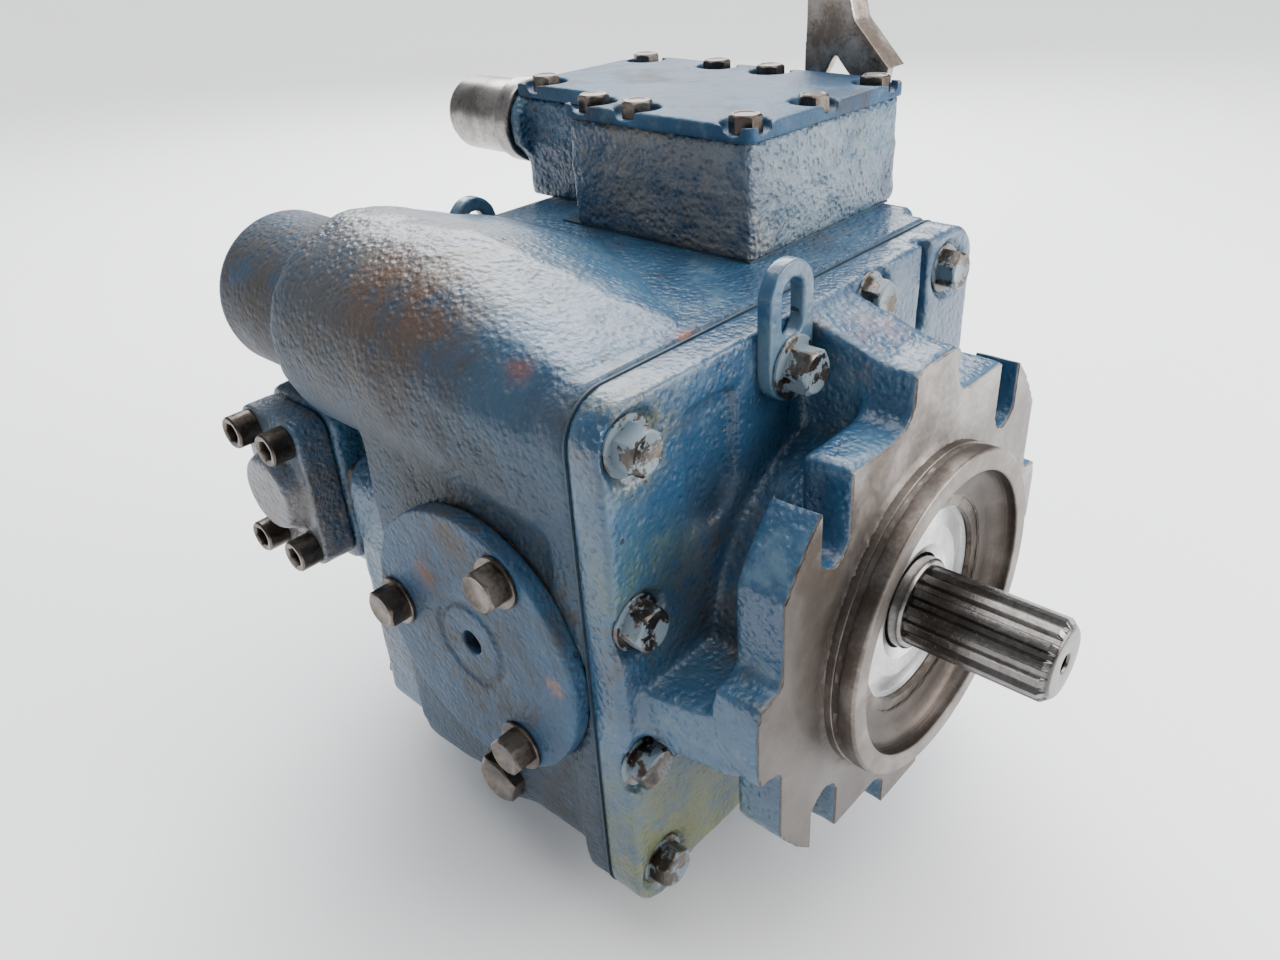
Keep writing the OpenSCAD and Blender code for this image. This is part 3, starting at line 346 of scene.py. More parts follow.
def mesh_piece(name, points, faces, finish, node=None, body="housing", slot=None, crease=32,
               stands_for=()):
    """Makes a piece from arrays of points (in millimetres) and four-cornered faces."""
    mesh = bpy.data.meshes.new(name)
    points = np.asarray(points, float) * MM
    faces = np.asarray(faces, int)
    mesh.vertices.add(len(points))
    mesh.vertices.foreach_set("co", points.ravel())
    mesh.loops.add(faces.size)
    mesh.loops.foreach_set("vertex_index", faces.ravel())
    mesh.polygons.add(len(faces))
    mesh.polygons.foreach_set("loop_start", np.arange(len(faces)) * 4)
    mesh.update(calc_edges=True)
    bm = bmesh.new()
    bm.from_mesh(mesh)
    bmesh.ops.remove_doubles(bm, verts=bm.verts, dist=2e-6)
    bmesh.ops.dissolve_degenerate(bm, edges=bm.edges, dist=1e-7)
    bmesh.ops.recalc_face_normals(bm, faces=bm.faces)
    bm.to_mesh(mesh)
    bm.free()
    return finish_piece(name, mesh, finish, node, body, slot, crease, stands_for)


def finish_piece(name, mesh, finish, node, body, slot, crease, stands_for):
    """Gives a mesh its finish and its body, in place of its CAD node where it has one."""
    mesh.polygons.foreach_set("use_smooth", np.ones(len(mesh.polygons), bool))
    mesh.set_sharp_from_angle(angle=math.radians(crease))
    mesh.materials.clear()
    mesh.materials.append(finish)
    piece = bpy.data.objects.new(name, mesh)
    bpy.context.scene.collection.objects.link(piece)
    if node:
        stands_for = (node, *stands_for)
        body, slot = body_of[node], slot_of[node]
    if stands_for:
        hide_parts(*stands_for)
    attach(piece, body)
    return piece


def grid_faces(rows, columns, wrap_rows=False):
    """Faces of a grid of points stored row after row; each row closes on itself."""
    r = np.arange(rows if wrap_rows else rows - 1)
    r, c = np.meshgrid(r, np.arange(columns), indexing="ij")
    r2, c2 = (r + 1) % rows, (c + 1) % columns
    return np.stack([r * columns + c, r * columns + c2, r2 * columns + c2, r2 * columns + c],
                    -1).reshape(-1, 4)


def eased(profile, steps=4):
    """Rounds the corners of a profile. A point is (radius, height, ease): the corner is cut back
    by ease along both sides, and a quadratic curve joins the cuts."""
    pts = [np.array(p[:2], float) for p in profile]
    ease = [p[2] if len(p) > 2 else 0 for p in profile]
    out = []
    for i, p in enumerate(pts):
        if not ease[i] or i in (0, len(pts) - 1):
            out.append(p)
            continue
        a, b = pts[i - 1] - p, pts[i + 1] - p
        cut = min(ease[i], 0.48 * np.linalg.norm(a), 0.48 * np.linalg.norm(b))
        a, b = p + a / np.linalg.norm(a) * cut, p + b / np.linalg.norm(b) * cut
        t = np.linspace(0, 1, steps + 1)[:, None]
        out.extend((1 - t) ** 2 * a + 2 * t * (1 - t) * p + t ** 2 * b)
    return np.array(out)


def turned_points(profile, columns=144, radius_at=None):
    """Points of a body turned about +Y: x = r cos t, z = r sin t, y = height. radius_at may
    change the radius with the angle."""
    t = np.linspace(0, 2 * np.pi, columns, endpoint=False)
    r = np.repeat(profile[:, :1], columns, 1)
    h = np.repeat(profile[:, 1:2], columns, 1)
    if radius_at:
        r = radius_at(r, h, t[None, :])
    return np.stack([r * np.cos(t), h, r * np.sin(t)], -1).reshape(-1, 3)


def turned(name, profile, finish, centre=(0, 0, 0), node=None, columns=144, ring=False, **more):
    """A turned piece from a profile of (radius, height, ease), centred on a place in
    millimetres; a ring's profile closes on itself."""
    outline = eased(list(profile) + ([profile[0]] if ring else []))
    if ring:
        outline = outline[:-1]
    points = turned_points(outline, columns) + np.array(centre)
    faces = grid_faces(len(outline), columns, ring)
    return mesh_piece(name, points, faces, finish, node=node, **more)


def turn_axis(direction):
    """Rotation that takes +Y to a given direction, as a 3 by 3 array."""
    return np.array(Vector((0, 1, 0)).rotation_difference(Vector(direction)).to_matrix())


def hex_head(af, height, columns=72):
    """Bolt head along -Y: the hexagon's radius is a / cos(angle to the flat's middle); its top
    edge drops with the radius as a 30 degree cone, and the top has a shallow dish."""
    a = af / 2
    top_r, corner_r, slope, dish = 0.93 * a, 1.135 * a, 0.577, 0.35
    t = np.linspace(0, 2 * np.pi, columns, endpoint=False)
    flat = (t + np.pi / 6) % (np.pi / 3) - np.pi / 6
    r = np.minimum(a / np.cos(flat), corner_r)
    drop = np.maximum(r - top_r, 0) * slope
    one = np.ones(columns)
    rows = [(r, 0 * one), (r, height - drop - 0.25), (r - 0.15, height - drop - 0.05),
            (top_r * one, height * one), (0.80 * a * one, height * one),
            (0.70 * a * one, (height - dish) * one), (0 * one, (height - dish) * one)]
    return rows, t


def rows_to_points(rows, t):
    """Points of rows of (radius, height) stacked along -Y: x = r cos t, z = r sin t."""
    return np.concatenate([np.stack([r * np.cos(t), -h, r * np.sin(t)], -1) for r, h in rows])


def bolt_shape(af, height, washer_r=0.0, washer_t=0.0, shank_r=5.0, shank=20.0, columns=72):
    """One bolt with its head towards -Y and its seat at the origin: shank, washer and head."""
    rows, t = hex_head(af, height, columns)
    rows = [(r, h + washer_t) for r, h in rows]
    one = np.ones(columns)
    under = [(0 * one, -shank * one), (shank_r * one, -shank * one), (shank_r * one, 0 * one)]
    if washer_r:
        under += [((washer_r - 0.4) * one, 0 * one), (washer_r * one, 0.4 * one),
                  (washer_r * one, (washer_t - 0.4) * one), ((washer_r - 0.4) * one, washer_t * one)]
    points = rows_to_points(under + rows, t)
    return points, grid_faces(len(under) + len(rows), columns)


def many(shape, places):
    """Copies of one shape at (rotation, place) pairs, as one set of points and faces."""
    points, faces = shape
    all_points = [points @ turn.T + np.array(where) for turn, where in places]
    all_faces = [faces + i * len(points) for i in range(len(places))]
    return np.concatenate(all_points), np.concatenate(all_faces)


def solids(node):
    """Boxes, in millimetres, of a node's separate solids: each point takes the lowest number
    among its neighbours until nothing changes."""
    bm = bmesh.new()
    bm.from_mesh(nodes[node].data)
    bmesh.ops.remove_doubles(bm, verts=bm.verts, dist=1e-6)
    bm.verts.index_update()
    co = np.array([v.co for v in bm.verts]) / MM
    ends = np.array([[v.index for v in e.verts] for e in bm.edges])
    bm.free()
    mark = np.arange(len(co))
    while True:
        low = np.minimum(mark[ends[:, 0]], mark[ends[:, 1]])
        new = mark.copy()
        np.minimum.at(new, ends[:, 0], low)
        np.minimum.at(new, ends[:, 1], low)
        new = new[new]
        if (new == mark).all():
            break
        mark = new
    return [(co[mark == m].min(0), co[mark == m].max(0)) for m in np.unique(mark)]


def lumps(points, size, seed):
    """Smooth random field, -1 to 1: lattice values eased between their eight corners."""
    side = 32
    lattice = np.random.default_rng(seed).uniform(-1, 1, (side, side, side))
    p = points / size + 1000.0
    cell = np.floor(p).astype(int)
    f = p - cell
    f = f * f * (3 - 2 * f)
    total = np.zeros(len(points))
    for corner in range(8):
        step = np.array([corner & 1, corner >> 1 & 1, corner >> 2 & 1])
        weight = np.prod(np.where(step, f, 1 - f), axis=1)
        i, j, k = ((cell + step) % side).T
        total += weight * lattice[i, j, k]
    return total


def cast_skin(name, node, finish, voxel, rounds, planes=(), lump=(0.35, 0.18), keep=None,
              crease=40, shape=None):
    """The casting's own skin: the solid is rebuilt as an even mesh, then each point moves
    towards its neighbours' middle, which rounds edges and fills corners. Points on machined
    planes (axis, place in mm) stay on them, and the rest gets shallow casting lumps."""
    source = nodes[node].data.copy()
    bm = bmesh.new()
    bm.from_mesh(source)
    bmesh.ops.remove_doubles(bm, verts=bm.verts, dist=1e-6)
    bm.to_mesh(source)
    bm.free()
    block = bpy.data.objects.new(name + "_block", source)
    bpy.context.scene.collection.objects.link(block)
    rebuild = block.modifiers.new("rebuild", "REMESH")
    rebuild.mode = "VOXEL"
    rebuild.voxel_size = voxel * MM
    rebuild.adaptivity = 0
    graph = bpy.context.evaluated_depsgraph_get()
    mesh = bpy.data.meshes.new_from_object(block.evaluated_get(graph))
    bpy.data.objects.remove(block)
    bpy.data.meshes.remove(source)
    mesh.name = name
    count = len(mesh.vertices)
    co = np.empty(count * 3)
    mesh.vertices.foreach_get("co", co)
    co = co.reshape(-1, 3) / MM
    normal = np.empty(count * 3, np.float32)
    mesh.vertex_normals.foreach_get("vector", normal)
    normal = normal.reshape(-1, 3)
    ends = np.empty(len(mesh.edges) * 2, np.int32)
    mesh.edges.foreach_get("vertices", ends)
    ends = ends.reshape(-1, 2)
    degree = np.bincount(ends.ravel(), minlength=count).astype(float)
    free = np.ones(count) if keep is None else keep(co)
    held = []
    for axis, place in planes:
        on = (np.abs(co[:, axis] - place) < 0.3 * voxel) & (np.abs(normal[:, axis]) > 0.8)
        held.append((axis, place, on))
    rough = free.copy()
    for axis, place, on in held:
        near = np.clip((np.abs(co[:, axis] - place) - 0.6) / 2.0, 0, 1)
        rough *= near
    for _ in range(rounds):
        middle = np.stack([
            np.bincount(ends[:, 0], co[ends[:, 1], k], count)
            + np.bincount(ends[:, 1], co[ends[:, 0], k], count) for k in range(3)], -1)
        middle /= degree[:, None]
        co += 0.5 * free[:, None] * (middle - co)
        for axis, place, on in held:
            co[on, axis] = place
    high, low = lump
    co += normal * (rough * (high * lumps(co, 13, 3) + low * lumps(co, 5, 7)))[:, None]
    if shape:
        co = shape(co, normal)
    mesh.vertices.foreach_set("co", (co * MM).ravel())
    mesh.update()
    return finish_piece(name, mesh, finish, node, None, None, crease, ())


def low_mm(node):
    """Lowest corner of a node's box, in millimetres."""
    return np.array(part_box(node)[0]) / MM


def high_mm(node):
    """Highest corner of a node's box, in millimetres."""
    return np.array(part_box(node)[1]) / MM


# ---------------------------------------------------------------- materials in use

DARK_STEEL = steel("dark_bolt_steel", (0.185, 0.160, 0.135), (0.070, 0.056, 0.048), 0.36, 0.5, 0.25)
PAINTED_STEEL = steel("painted_bolt_steel", (0.225, 0.200, 0.178), (0.085, 0.070, 0.060),
                      0.34, 0.40, 0.12, paint=0.62)
SHAFT_STEEL = steel("shaft_steel", (0.270, 0.258, 0.248), (0.150, 0.139, 0.130), 0.25, 0.16, 0.0,
                    shade=shaft_end_shade)
BRIGHT_STEEL = steel("bright_steel", (0.62, 0.61, 0.60), (0.42, 0.41, 0.40), 0.22, 0.2)
SPRING_STEEL = steel("spring_steel", (0.36, 0.35, 0.34), (0.18, 0.17, 0.17), 0.3, 0.3)
ALUMINIUM = steel("turned_aluminium", (0.74, 0.74, 0.74), (0.50, 0.50, 0.50), 0.30, 0.25, 0, 0.10)
CAP_STEEL = steel("cap_steel", (0.380, 0.360, 0.342), (0.190, 0.172, 0.160), 0.32, 0.40, 0.1)
LEVER_STEEL = steel("lever_steel", (0.440, 0.390, 0.350), (0.210, 0.165, 0.132), 0.40, 0.40, 0.36)
SPIGOT_IRON = steel("spigot_iron", (0.205, 0.180, 0.162), (0.112, 0.092, 0.080),
                    0.38, 0.30, 0.08, 0.10, shade=spigot_recess_shade)
GASKET = sheet_dark("gasket_sheet", (0.022, 0.020, 0.019))
PAINTED_GASKET = sheet_dark("painted_gasket_edge", (0.018, 0.036, 0.054))
SHIM = steel("shim_steel", (0.150, 0.105, 0.075), (0.050, 0.036, 0.028), 0.5, 0.5, 0.5)
RUBBER = sheet_dark("seal_rubber", (0.012, 0.012, 0.012))
BRONZE = bronze()

COVER_PAINT = painted_casting(
    "front_cover_paint", tone=0.02, grime=0.25, grain=0.75,
    spots=[((-98, 46, -72), 62, (0.110, 0.125, 0.040), 1.2),
           ((-66, 40, -98), 62, (0.110, 0.120, 0.038), 1.2),
           ((-98, 46, 45), 34, (0.045, 0.085, 0.080), 0.9),
           ((-62, 44, 30), 46, (0.075, 0.078, 0.080), 1.0),
           ((-52, 40, -8), 40, (0.050, 0.048, 0.048), 0.8),
           ((-95, 46, 95), 26, (0.110, 0.125, 0.085), 0.9),
           ((60, 40, 110), 40, RUST, 0.25),
           ((0, 20, 100), 22, PRIMER, 0.35)],
    bare=front_bare, gloss=0.33)
HOUSING_PAINT = painted_casting(
    "housing_paint", tone=0.02, grime=0.30, grain=1.0,
    spots=[((-92, 195, 122), 70, (0.110, 0.104, 0.098), 1.3),
           ((-106, 170, 92), 60, (0.078, 0.069, 0.062), 1.2),
           ((-70, 150, 128), 60, (0.105, 0.105, 0.105), 1.0),
           ((-99, 142, 108), 52, (0.080, 0.052, 0.036), 1.3),
           ((-97, 136, 112), 22, (0.135, 0.068, 0.036), 1.0),
           ((-96, 160, 116), 22, (0.125, 0.066, 0.036), 0.8),
           ((-105, 88, 112), 10, PRIMER, 0.9),
           ((-104, 84, 70), 34, RUST, 0.35),
           ((-53, 61, 108), 9, PRIMER, 0.8),
           ((-111, 64, 20), 46, (0.052, 0.046, 0.042), 0.8),
           ((-70, 222, 87), 48, (0.050, 0.042, 0.038), 0.8),
           # Painted shade: the next two dark blue spots darken the housing's left side.
           ((-109, 100, -60), 90, (0.012, 0.018, 0.024), 1.4),
           ((-109, 125, 50), 66, (0.018, 0.024, 0.030), 1.2)],
    flecks=0.03, dull_shaded_left=True)
BOX_PAINT = painted_casting(
    "control_box_paint", tone=0.06, grime=0.30, grain=2.1,
    spots=[((8, 120, 118), 70, (0.200, 0.182, 0.170), 1.3),
           ((12, 90, 122), 24, (0.200, 0.190, 0.182), 0.6),
           ((12, 150, 150), 40, (0.200, 0.190, 0.182), 0.6),
           ((60, 86, 134), 66, (0.180, 0.240, 0.285), 1.3)])
LID_PAINT = painted_casting(
    "lid_paint", tone=-0.06, grime=0.36, grain=0.35,
    spots=[((70, 110, 158), 70, (0.210, 0.230, 0.240), 0.2)],
    gloss=0.52, coat=0.0, specular=0.22)
TRUNNION_PAINT = painted_casting(
    "trunnion_cover_paint", tone=-0.10, grime=0.46, grain=0.75,
    spots=[((-118, 70, 3), 6, (0.50, 0.20, 0.03), 1.0),
           ((-118, 136, 21), 9, (0.16, 0.06, 0.03), 1.0),
           ((-118, 114, 50), 30, (0.050, 0.042, 0.038), 0.9),
           # Painted shade: the next spot darkens the lower part of the left cover.
           ((-118, 114, -10), 60, (0.022, 0.026, 0.030), 0.8)], gloss=0.52, coat=0.04, specular=0.35)
CAP_PAINT = painted_casting(
    "servo_cap_paint", tone=-0.16, grime=0.70, grain=0.75,
    spots=[((-95, 250, 110), 46, (0.070, 0.062, 0.056), 1.2),
           ((-102, 262, 70), 60, (0.034, 0.028, 0.025), 1.3)],
    gloss=0.55, coat=0.03, specular=0.30)
END_PAINT = painted_casting("end_cap_paint", tone=0.0, grime=0.45, grain=1.0)
PORT_PAINT = painted_casting(
    "port_flange_paint", tone=0.02, grime=0.55, grain=1.0,
    spots=[((-112, 240, 0), 70, (0.165, 0.150, 0.144), 1.2)])
STRAP_PAINT = painted_casting("strap_paint", tone=0.16, grime=0.22, grain=0.3, gloss=0.30)

CARRIED = {
    "seal_retainer": ALUMINIUM, "snap_ring": DARK_STEEL, "shaft_seal": RUBBER,
    "front_bearing_outer": BRIGHT_STEEL, "front_bearing_inner": BRIGHT_STEEL,
    "front_bearing_rollers": BRIGHT_STEEL, "cylinder_block": SHAFT_STEEL, "pistons": BRIGHT_STEEL,
    "slippers": BRONZE, "slipper_retainer": SHAFT_STEEL, "ball_guide": SHAFT_STEEL,
    "block_springs": SPRING_STEEL, "bearing_plate": BRONZE, "valve_plate": SHAFT_STEEL,
    "swashplate": SHAFT_STEEL, "trunnion_bearings": BRIGHT_STEEL, "trunnion_shims": SHIM,
    "servo_piston_left": SHAFT_STEEL, "servo_piston_right": SHAFT_STEEL,
    "servo_spring_left": SPRING_STEEL, "servo_spring_right": SPRING_STEEL,
    "servo_links": SHAFT_STEEL, "control_spool": BRIGHT_STEEL, "control_spring": SPRING_STEEL,
    "spring_cups": SHAFT_STEEL, "lever_shaft": SHAFT_STEEL, "rear_bearing": BRIGHT_STEEL,
    "front_gasket": PAINTED_GASKET, "control_gasket": PAINTED_GASKET, "end_cap_gasket": GASKET,
    "charge_inner_rotor": SHAFT_STEEL, "charge_outer_rotor": SHAFT_STEEL,
}
for node, finish in CARRIED.items():
    nodes[node].data.materials.clear()
    nodes[node].data.materials.append(finish)

# ---------------------------------------------------------------- castings

SEAM_Y = high_mm("front_cover")[Y]
HOUSE_Y = low_mm("main_housing")[Y]
DECK_Z = low_mm("control_gasket")[Z]
LID_Z = low_mm("control_lid")[Z]
RIB_UP = 24.0


def cover_keep(co):
    """The spigot and the flange face stay crisp, and the cast part behind them is eased."""
    return np.clip((co[:, 1] + 0.5) / 5.0, 0.12, 1.0)


def cover_shape(co, normal):
    """Sinks the spigot under the turned ring that covers it."""
    r = np.hypot(co[:, 0], co[:, 2])
    under = (r < 64.3) & (r > 40) & (co[:, 1] < -0.4)
    co[under] -= 0.5 * normal[under]
    return co


cast_skin("front_cover_casting", "front_cover", COVER_PAINT, voxel=1.42, rounds=6,
          planes=[(Y, 0.0), (Y, SEAM_Y)], lump=(0.30, 0.12), keep=cover_keep, shape=cover_shape)
cast_skin("housing_casting", "main_housing", HOUSING_PAINT, voxel=2.0, rounds=6,
          planes=[(Y, HOUSE_Y), (Z, DECK_Z)], lump=(0.45, 0.22))


def box_shape(co, normal):
    """A low rib where the two halves of the mould met: its height falls off from its
    wandering middle line as exp(-(distance / 1.8 mm) squared)."""
    side = np.abs(normal[:, 2]) < 0.5
    rib = 0.55 * np.exp(-((co[:, 2] - DECK_Z - RIB_UP - 0.8 * lumps(co, 20, 5)) / 1.8) ** 2)
    co[side] += normal[side] * rib[side, None]
    return co


cast_skin("control_box_casting", "control_housing", BOX_PAINT, voxel=1.3, rounds=5,
          planes=[(Z, low_mm("control_housing")[Z]), (Z, LID_Z)], lump=(0.55, 0.40),
          shape=box_shape)
cast_skin("control_lid_plate", "control_lid", LID_PAINT, voxel=0.9, rounds=4,
          planes=[(Z, LID_Z)], lump=(0.10, 0.05))
for side in ("left", "right"):
    cast_skin(f"trunnion_cover_{side}_casting", f"trunnion_cover_{side}", TRUNNION_PAINT,
              voxel=0.8, rounds=5, lump=(0.12, 0.08))
    cast_skin(f"port_flange_{side}_casting", f"port_flange_{side}", PORT_PAINT,
              voxel=0.9, rounds=6, lump=(0.2, 0.12))
cast_skin("end_cap_casting", "end_cap", END_PAINT, voxel=1.7, rounds=7,
          planes=[(Y, low_mm("end_cap")[Y])], lump=(0.4, 0.2))
cast_skin("charge_pump_casting", "charge_housing", END_PAINT, voxel=1.0, rounds=5,
          planes=[(Y, low_mm("charge_housing")[Y])], lump=(0.25, 0.15))
cast_skin("lifting_strap_plates", "lifting_straps", STRAP_PAINT, voxel=0.7, rounds=4,
          lump=(0.08, 0.05))
cast_skin("control_lever_plate", "control_lever", LEVER_STEEL, voxel=0.7, rounds=3,
          lump=(0.05, 0.05))


def servo_cap(side):
    """Turned cap: a straight wall that rounds over into a slightly crowned end."""
    node = f"servo_cap_{side}"
    lo, hi = low_mm(node), high_mm(node)
    centre = (lo + hi) / 2
    r = (hi[0] - lo[0]) / 2
    y0, y1 = lo[1], hi[1]
    profile = [(21, y0), (r - 0.7, y0, 0.4), (r - 0.7, y0 + 12.2), (r - 0.15, y0 + 14.0, 1.0),
               (r - 0.15, y1 - 9), (r - 1.2, y1 - 5.2, 2.5), (r - 4.2, y1 - 2, 2.5),
               (r - 9, y1 - 0.4, 3.0), (0, y1), (0, y1 - 8), (21, y1 - 8)]
    turned(f"servo_cap_{side}_turned", profile, CAP_PAINT, (centre[0], 0, centre[2]), node,
           columns=160, ring=True)


servo_cap("left")
servo_cap("right")


def control_cap():
    """Turned cap: a plain collar, a step of 1.9 mm, and a domed end."""
    lo, hi = low_mm("control_cap"), high_mm("control_cap")
    centre = (lo + hi) / 2
    r = (hi[0] - lo[0]) / 2
    y0, y1 = lo[1], hi[1]
    profile = [(r - 5, y0), (r - 0.5, y0, 0.5), (r, y0 + 1.2, 0.8), (r, y0 + 9.2, 1.0),
               (r - 1.9, y0 + 11, 0.8), (r - 1.9, y1 - 6), (r - 4, y1 - 1.5, 3),
               (r - 7.5, y1 - 0.1, 2), (0, y1), (0, y1 - 5), (r - 5, y1 - 6)]
    turned("control_cap_turned", profile, CAP_STEEL, (centre[0], 0, centre[2]), "control_cap",
           columns=128, ring=True)


control_cap()

# ---------------------------------------------------------------- spigot and shaft

PILOT_R = 63.5
PILOT_Y = -12.7
spigot = [(43.2, -3.0), (46.0, -3.5, 1.5), (50.0, -4.2, 2.0), (53.5, -6.2, 2.0),
          (55.2, -9.5, 2.0), (55.3, PILOT_Y, 0.7), (62.7, PILOT_Y, 0.4), (PILOT_R, -11.9, 0.3),
          (PILOT_R, -6.6, 0.3), (61.7, -6.2, 0.3), (61.7, -4.3, 0.3), (PILOT_R, -3.9, 0.3),
          (PILOT_R, -0.02), (60.0, 1.5), (46.0, 1.5)]
turned("spigot_ring", spigot, SPIGOT_IRON, ring=True, columns=256, slot="painted_iron", body="housing")


TEETH = 14
TOOTH_R = 15.6
TOOTH_DEPTH = 1.95
RUN_OUT_Y = -3.05


def spline_radius(r, h, t):
    """Fourteen flat-topped teeth: the radius follows a squared-off cosine of 14 t between root
    and tip, and the teeth stop at the run-out in front of the seal."""
    wave = 0.5 + 0.5 * np.clip(np.cos(TEETH * t) * 2.6 + 0.15, -1, 1)
    toothed = (h < RUN_OUT_Y) & (r > 5)
    return np.where(toothed, np.minimum(r, TOOTH_R - TOOTH_DEPTH * (1 - wave)), r)


def input_shaft():
    """A profile of steps turned about the shaft's axis, with the teeth cut into the drive
    end: each point's radius is the smaller of its step's and the teeth's."""
    lo, hi = low_mm("input_shaft"), high_mm("input_shaft")
    front, back = lo[1], hi[1]
    seal_r, seat_r = 18.0, 20.0
    bearing_y = low_mm("front_bearing_inner")[1]
    bearing_end = high_mm("front_bearing_inner")[1]
    block_y = high_mm("cylinder_block")[1]
    needle_y = high_mm("rear_bearing")[1]
    profile = [(0, front + 12), (3.4, front + 12), (3.4, front + 0.9), (4.2, front + 0.05, 0.2),
               (12.6, front + 0.02, 0.5), (13.4, front + 0.7, 0.2), (TOOTH_R, front + 3.2, 0.5),
               (TOOTH_R, -20), (TOOTH_R, -3.2), (15.4, -3.0), (seal_r - 1, -3.0, 0.3),
               (seal_r, -2.0, 0.3), (seal_r, bearing_y - 1), (seat_r, bearing_y - 0.5),
               (seat_r, bearing_end), (seat_r + 2.5, bearing_end, 0.4),
               (seat_r + 2.5, bearing_end + 4, 0.4), (seat_r - 2, bearing_end + 5),
               (seat_r - 2, block_y - 4), (14.6, block_y - 3), (14.6, needle_y + 2),
               (9, needle_y + 3), (9, back - 0.5), (8.5, back), (0, back)]
    outline = eased(profile, 3)
    columns = TEETH * 26
    points = turned_points(outline, columns, spline_radius)
    mesh_piece("input_shaft_splined", points, grid_faces(len(outline), columns), SHAFT_STEEL,
               node="input_shaft", crease=38)


input_shaft()

# ---------------------------------------------------------------- bolts

draw = np.random.default_rng(11)


def spin(axis_turn, angle):
    """A turn about the bolt's own axis, followed by the turn that points the bolt."""
    c, s = math.cos(angle), math.sin(angle)
    about_y = np.array([[c, 0, s], [0, 1, 0], [-s, 0, c]])
    return axis_turn @ about_y


def bolts(node, head, outward, af, height, washer=(0, 0), shank_r=5.0, finish=DARK_STEEL):
    """One hexagon bolt for each solid of a CAD node, its head at the solid's outer end.
    outward is the way that the heads face, and head gives the sign of a single one."""
    outward = np.array(outward, float)
    axis = int(np.argmax(np.abs(outward)))
    places = []
    for lo, hi in solids(node):
        where = (lo + hi) / 2
        sign = head(where) if head else outward[axis]
        tip = hi[axis] if sign > 0 else lo[axis]
        length = (hi[axis] - lo[axis]) - height - washer[1]
        where[axis] = tip - sign * (height + washer[1])
        direction = np.zeros(3)
        direction[axis] = -sign
        places.append((spin(turn_axis(direction), draw.uniform(0, math.pi / 3)), where))
    shape = bolt_shape(af, height, washer[0], washer[1], shank_r, length)
    points, faces = many(shape, places)
    return mesh_piece(node + "_hex", points, faces, finish, node=node, crease=28)


def side_of_x(middle):
    """1 on the right of the shaft and -1 on its left."""
    return 1 if middle[X] > 0 else -1


def end_of_y(middle):
    """-1 towards the drive end and 1 towards the back."""
    return -1 if middle[Y] < 100 else 1


bolts("cover_bolts", None, (0, -1, 0), HEX_AF, 7.5, (WASHER_R, 1.6), finish=PAINTED_STEEL)
bolts("strap_bolts", end_of_y, (0, 1, 0), HEX_AF, 8.5, (11.0, 1.6), finish=PAINTED_STEEL)
bolts("trunnion_bolts", side_of_x, (1, 0, 0), HEX_AF, 7.5, (WASHER_R, 1.6))
bolts("control_lid_bolts", None, (0, 0, 1), LID_AF, 6.4, (0, 0), 2.95)
bolts("end_cap_bolts", None, (0, 1, 0), 18.0, 8.0, (0, 0), 6.0)
bolts("charge_bolts", None, (0, 1, 0), 12.0, 6.0, (0, 0), 4.0)


def socket_screws():
    """Cylinder-head screws with a hexagon socket; every row is one ring of the screw."""
    columns = 72
    t = np.linspace(0, 2 * np.pi, columns, endpoint=False)
    flat = (t + np.pi / 6) % (np.pi / 3) - np.pi / 6
    key = 4.0 / np.cos(flat)
    head = 10
    one = np.ones(columns)
    outside = [(0, -31), (5, -31), (5, 0), (6.9, 0), (7.2, 0.3), (7.2, 9.2), (6.6, head),
               (5.3, head)]
    rows = [(r * one, h * one) for r, h in outside]
    rows += [(key + 0.2, 9.6 * one), (key, 9.2 * one), (key, 5 * one), (0 * one, 4 * one)]
    shape = (rows_to_points(rows, t), grid_faces(len(rows), columns))
    places = []
    for lo, hi in solids("port_screws"):
        sign = side_of_x((lo + hi) / 2)
        where = (lo + hi) / 2
        where[X] = (hi[X] if sign > 0 else lo[X]) - sign * head
        places.append((spin(turn_axis((-sign, 0, 0)), draw.uniform(0, 1)), where))
    points, faces = many(shape, places)
    mesh_piece("port_screws_socket", points, faces, DARK_STEEL, node="port_screws", crease=28)


socket_screws()


def lever_nut():
    """Hex nut on a 2 mm washer: the first four rows of a hexagon head, closed on itself
    through the bore."""
    lo, hi = low_mm("lever_nut"), high_mm("lever_nut")
    rows, t = hex_head(16, 8)
    centre = (lo + hi) / 2
    one = np.ones(len(t))
    ring = [(5.02 * one, 0 * one), (10 * one, 0 * one), (10 * one, 1.7 * one), (9.7 * one, 2 * one)]
    rows = ring + [(r, h + 2) for r, h in rows[:4]] + [(5.6 * one, 10 * one), (5.02 * one, 9.5 * one)]
    points = rows_to_points(rows, t) @ turn_axis((-1, 0, 0)).T + np.array((lo[0], centre[1], centre[2]))
    mesh_piece("lever_nut_hex", points, grid_faces(len(rows), len(t), wrap_rows=True), DARK_STEEL,
               node="lever_nut", crease=28)


lever_nut()


def case_plugs():
    """Hex plugs, one in the left side of the housing and one in the end cap: the hexagon
    head of a bolt on a thicker thread."""
    head = 6.0
    parts = []
    for lo, hi in solids("case_plugs"):
        size = hi - lo
        axis, sign, af, thread_r = (X, -1, 19.0, 6.9) if lo[X] < -90 else (Y, 1, 16.0, 5.9)
        seat = (lo + hi) / 2
        seat[axis] = (lo[axis] + head) if sign < 0 else (hi[axis] - head)
        direction = np.zeros(3)
        direction[axis] = -sign
        points, faces = bolt_shape(af, head, 0, 0, thread_r, size[axis] - head)
        parts.append((points @ spin(turn_axis(direction), 0.3).T + seat, faces))
    points = np.concatenate([p for p, f in parts])
    faces = np.concatenate([parts[0][1], parts[1][1] + len(parts[0][0])])
    mesh_piece("case_plugs_hex", points, faces, DARK_STEEL, node="case_plugs", crease=28)


case_plugs()

# ---------------------------------------------------------------- floor, light and camera

FLOOR_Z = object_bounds()[0][2] - 0.0005


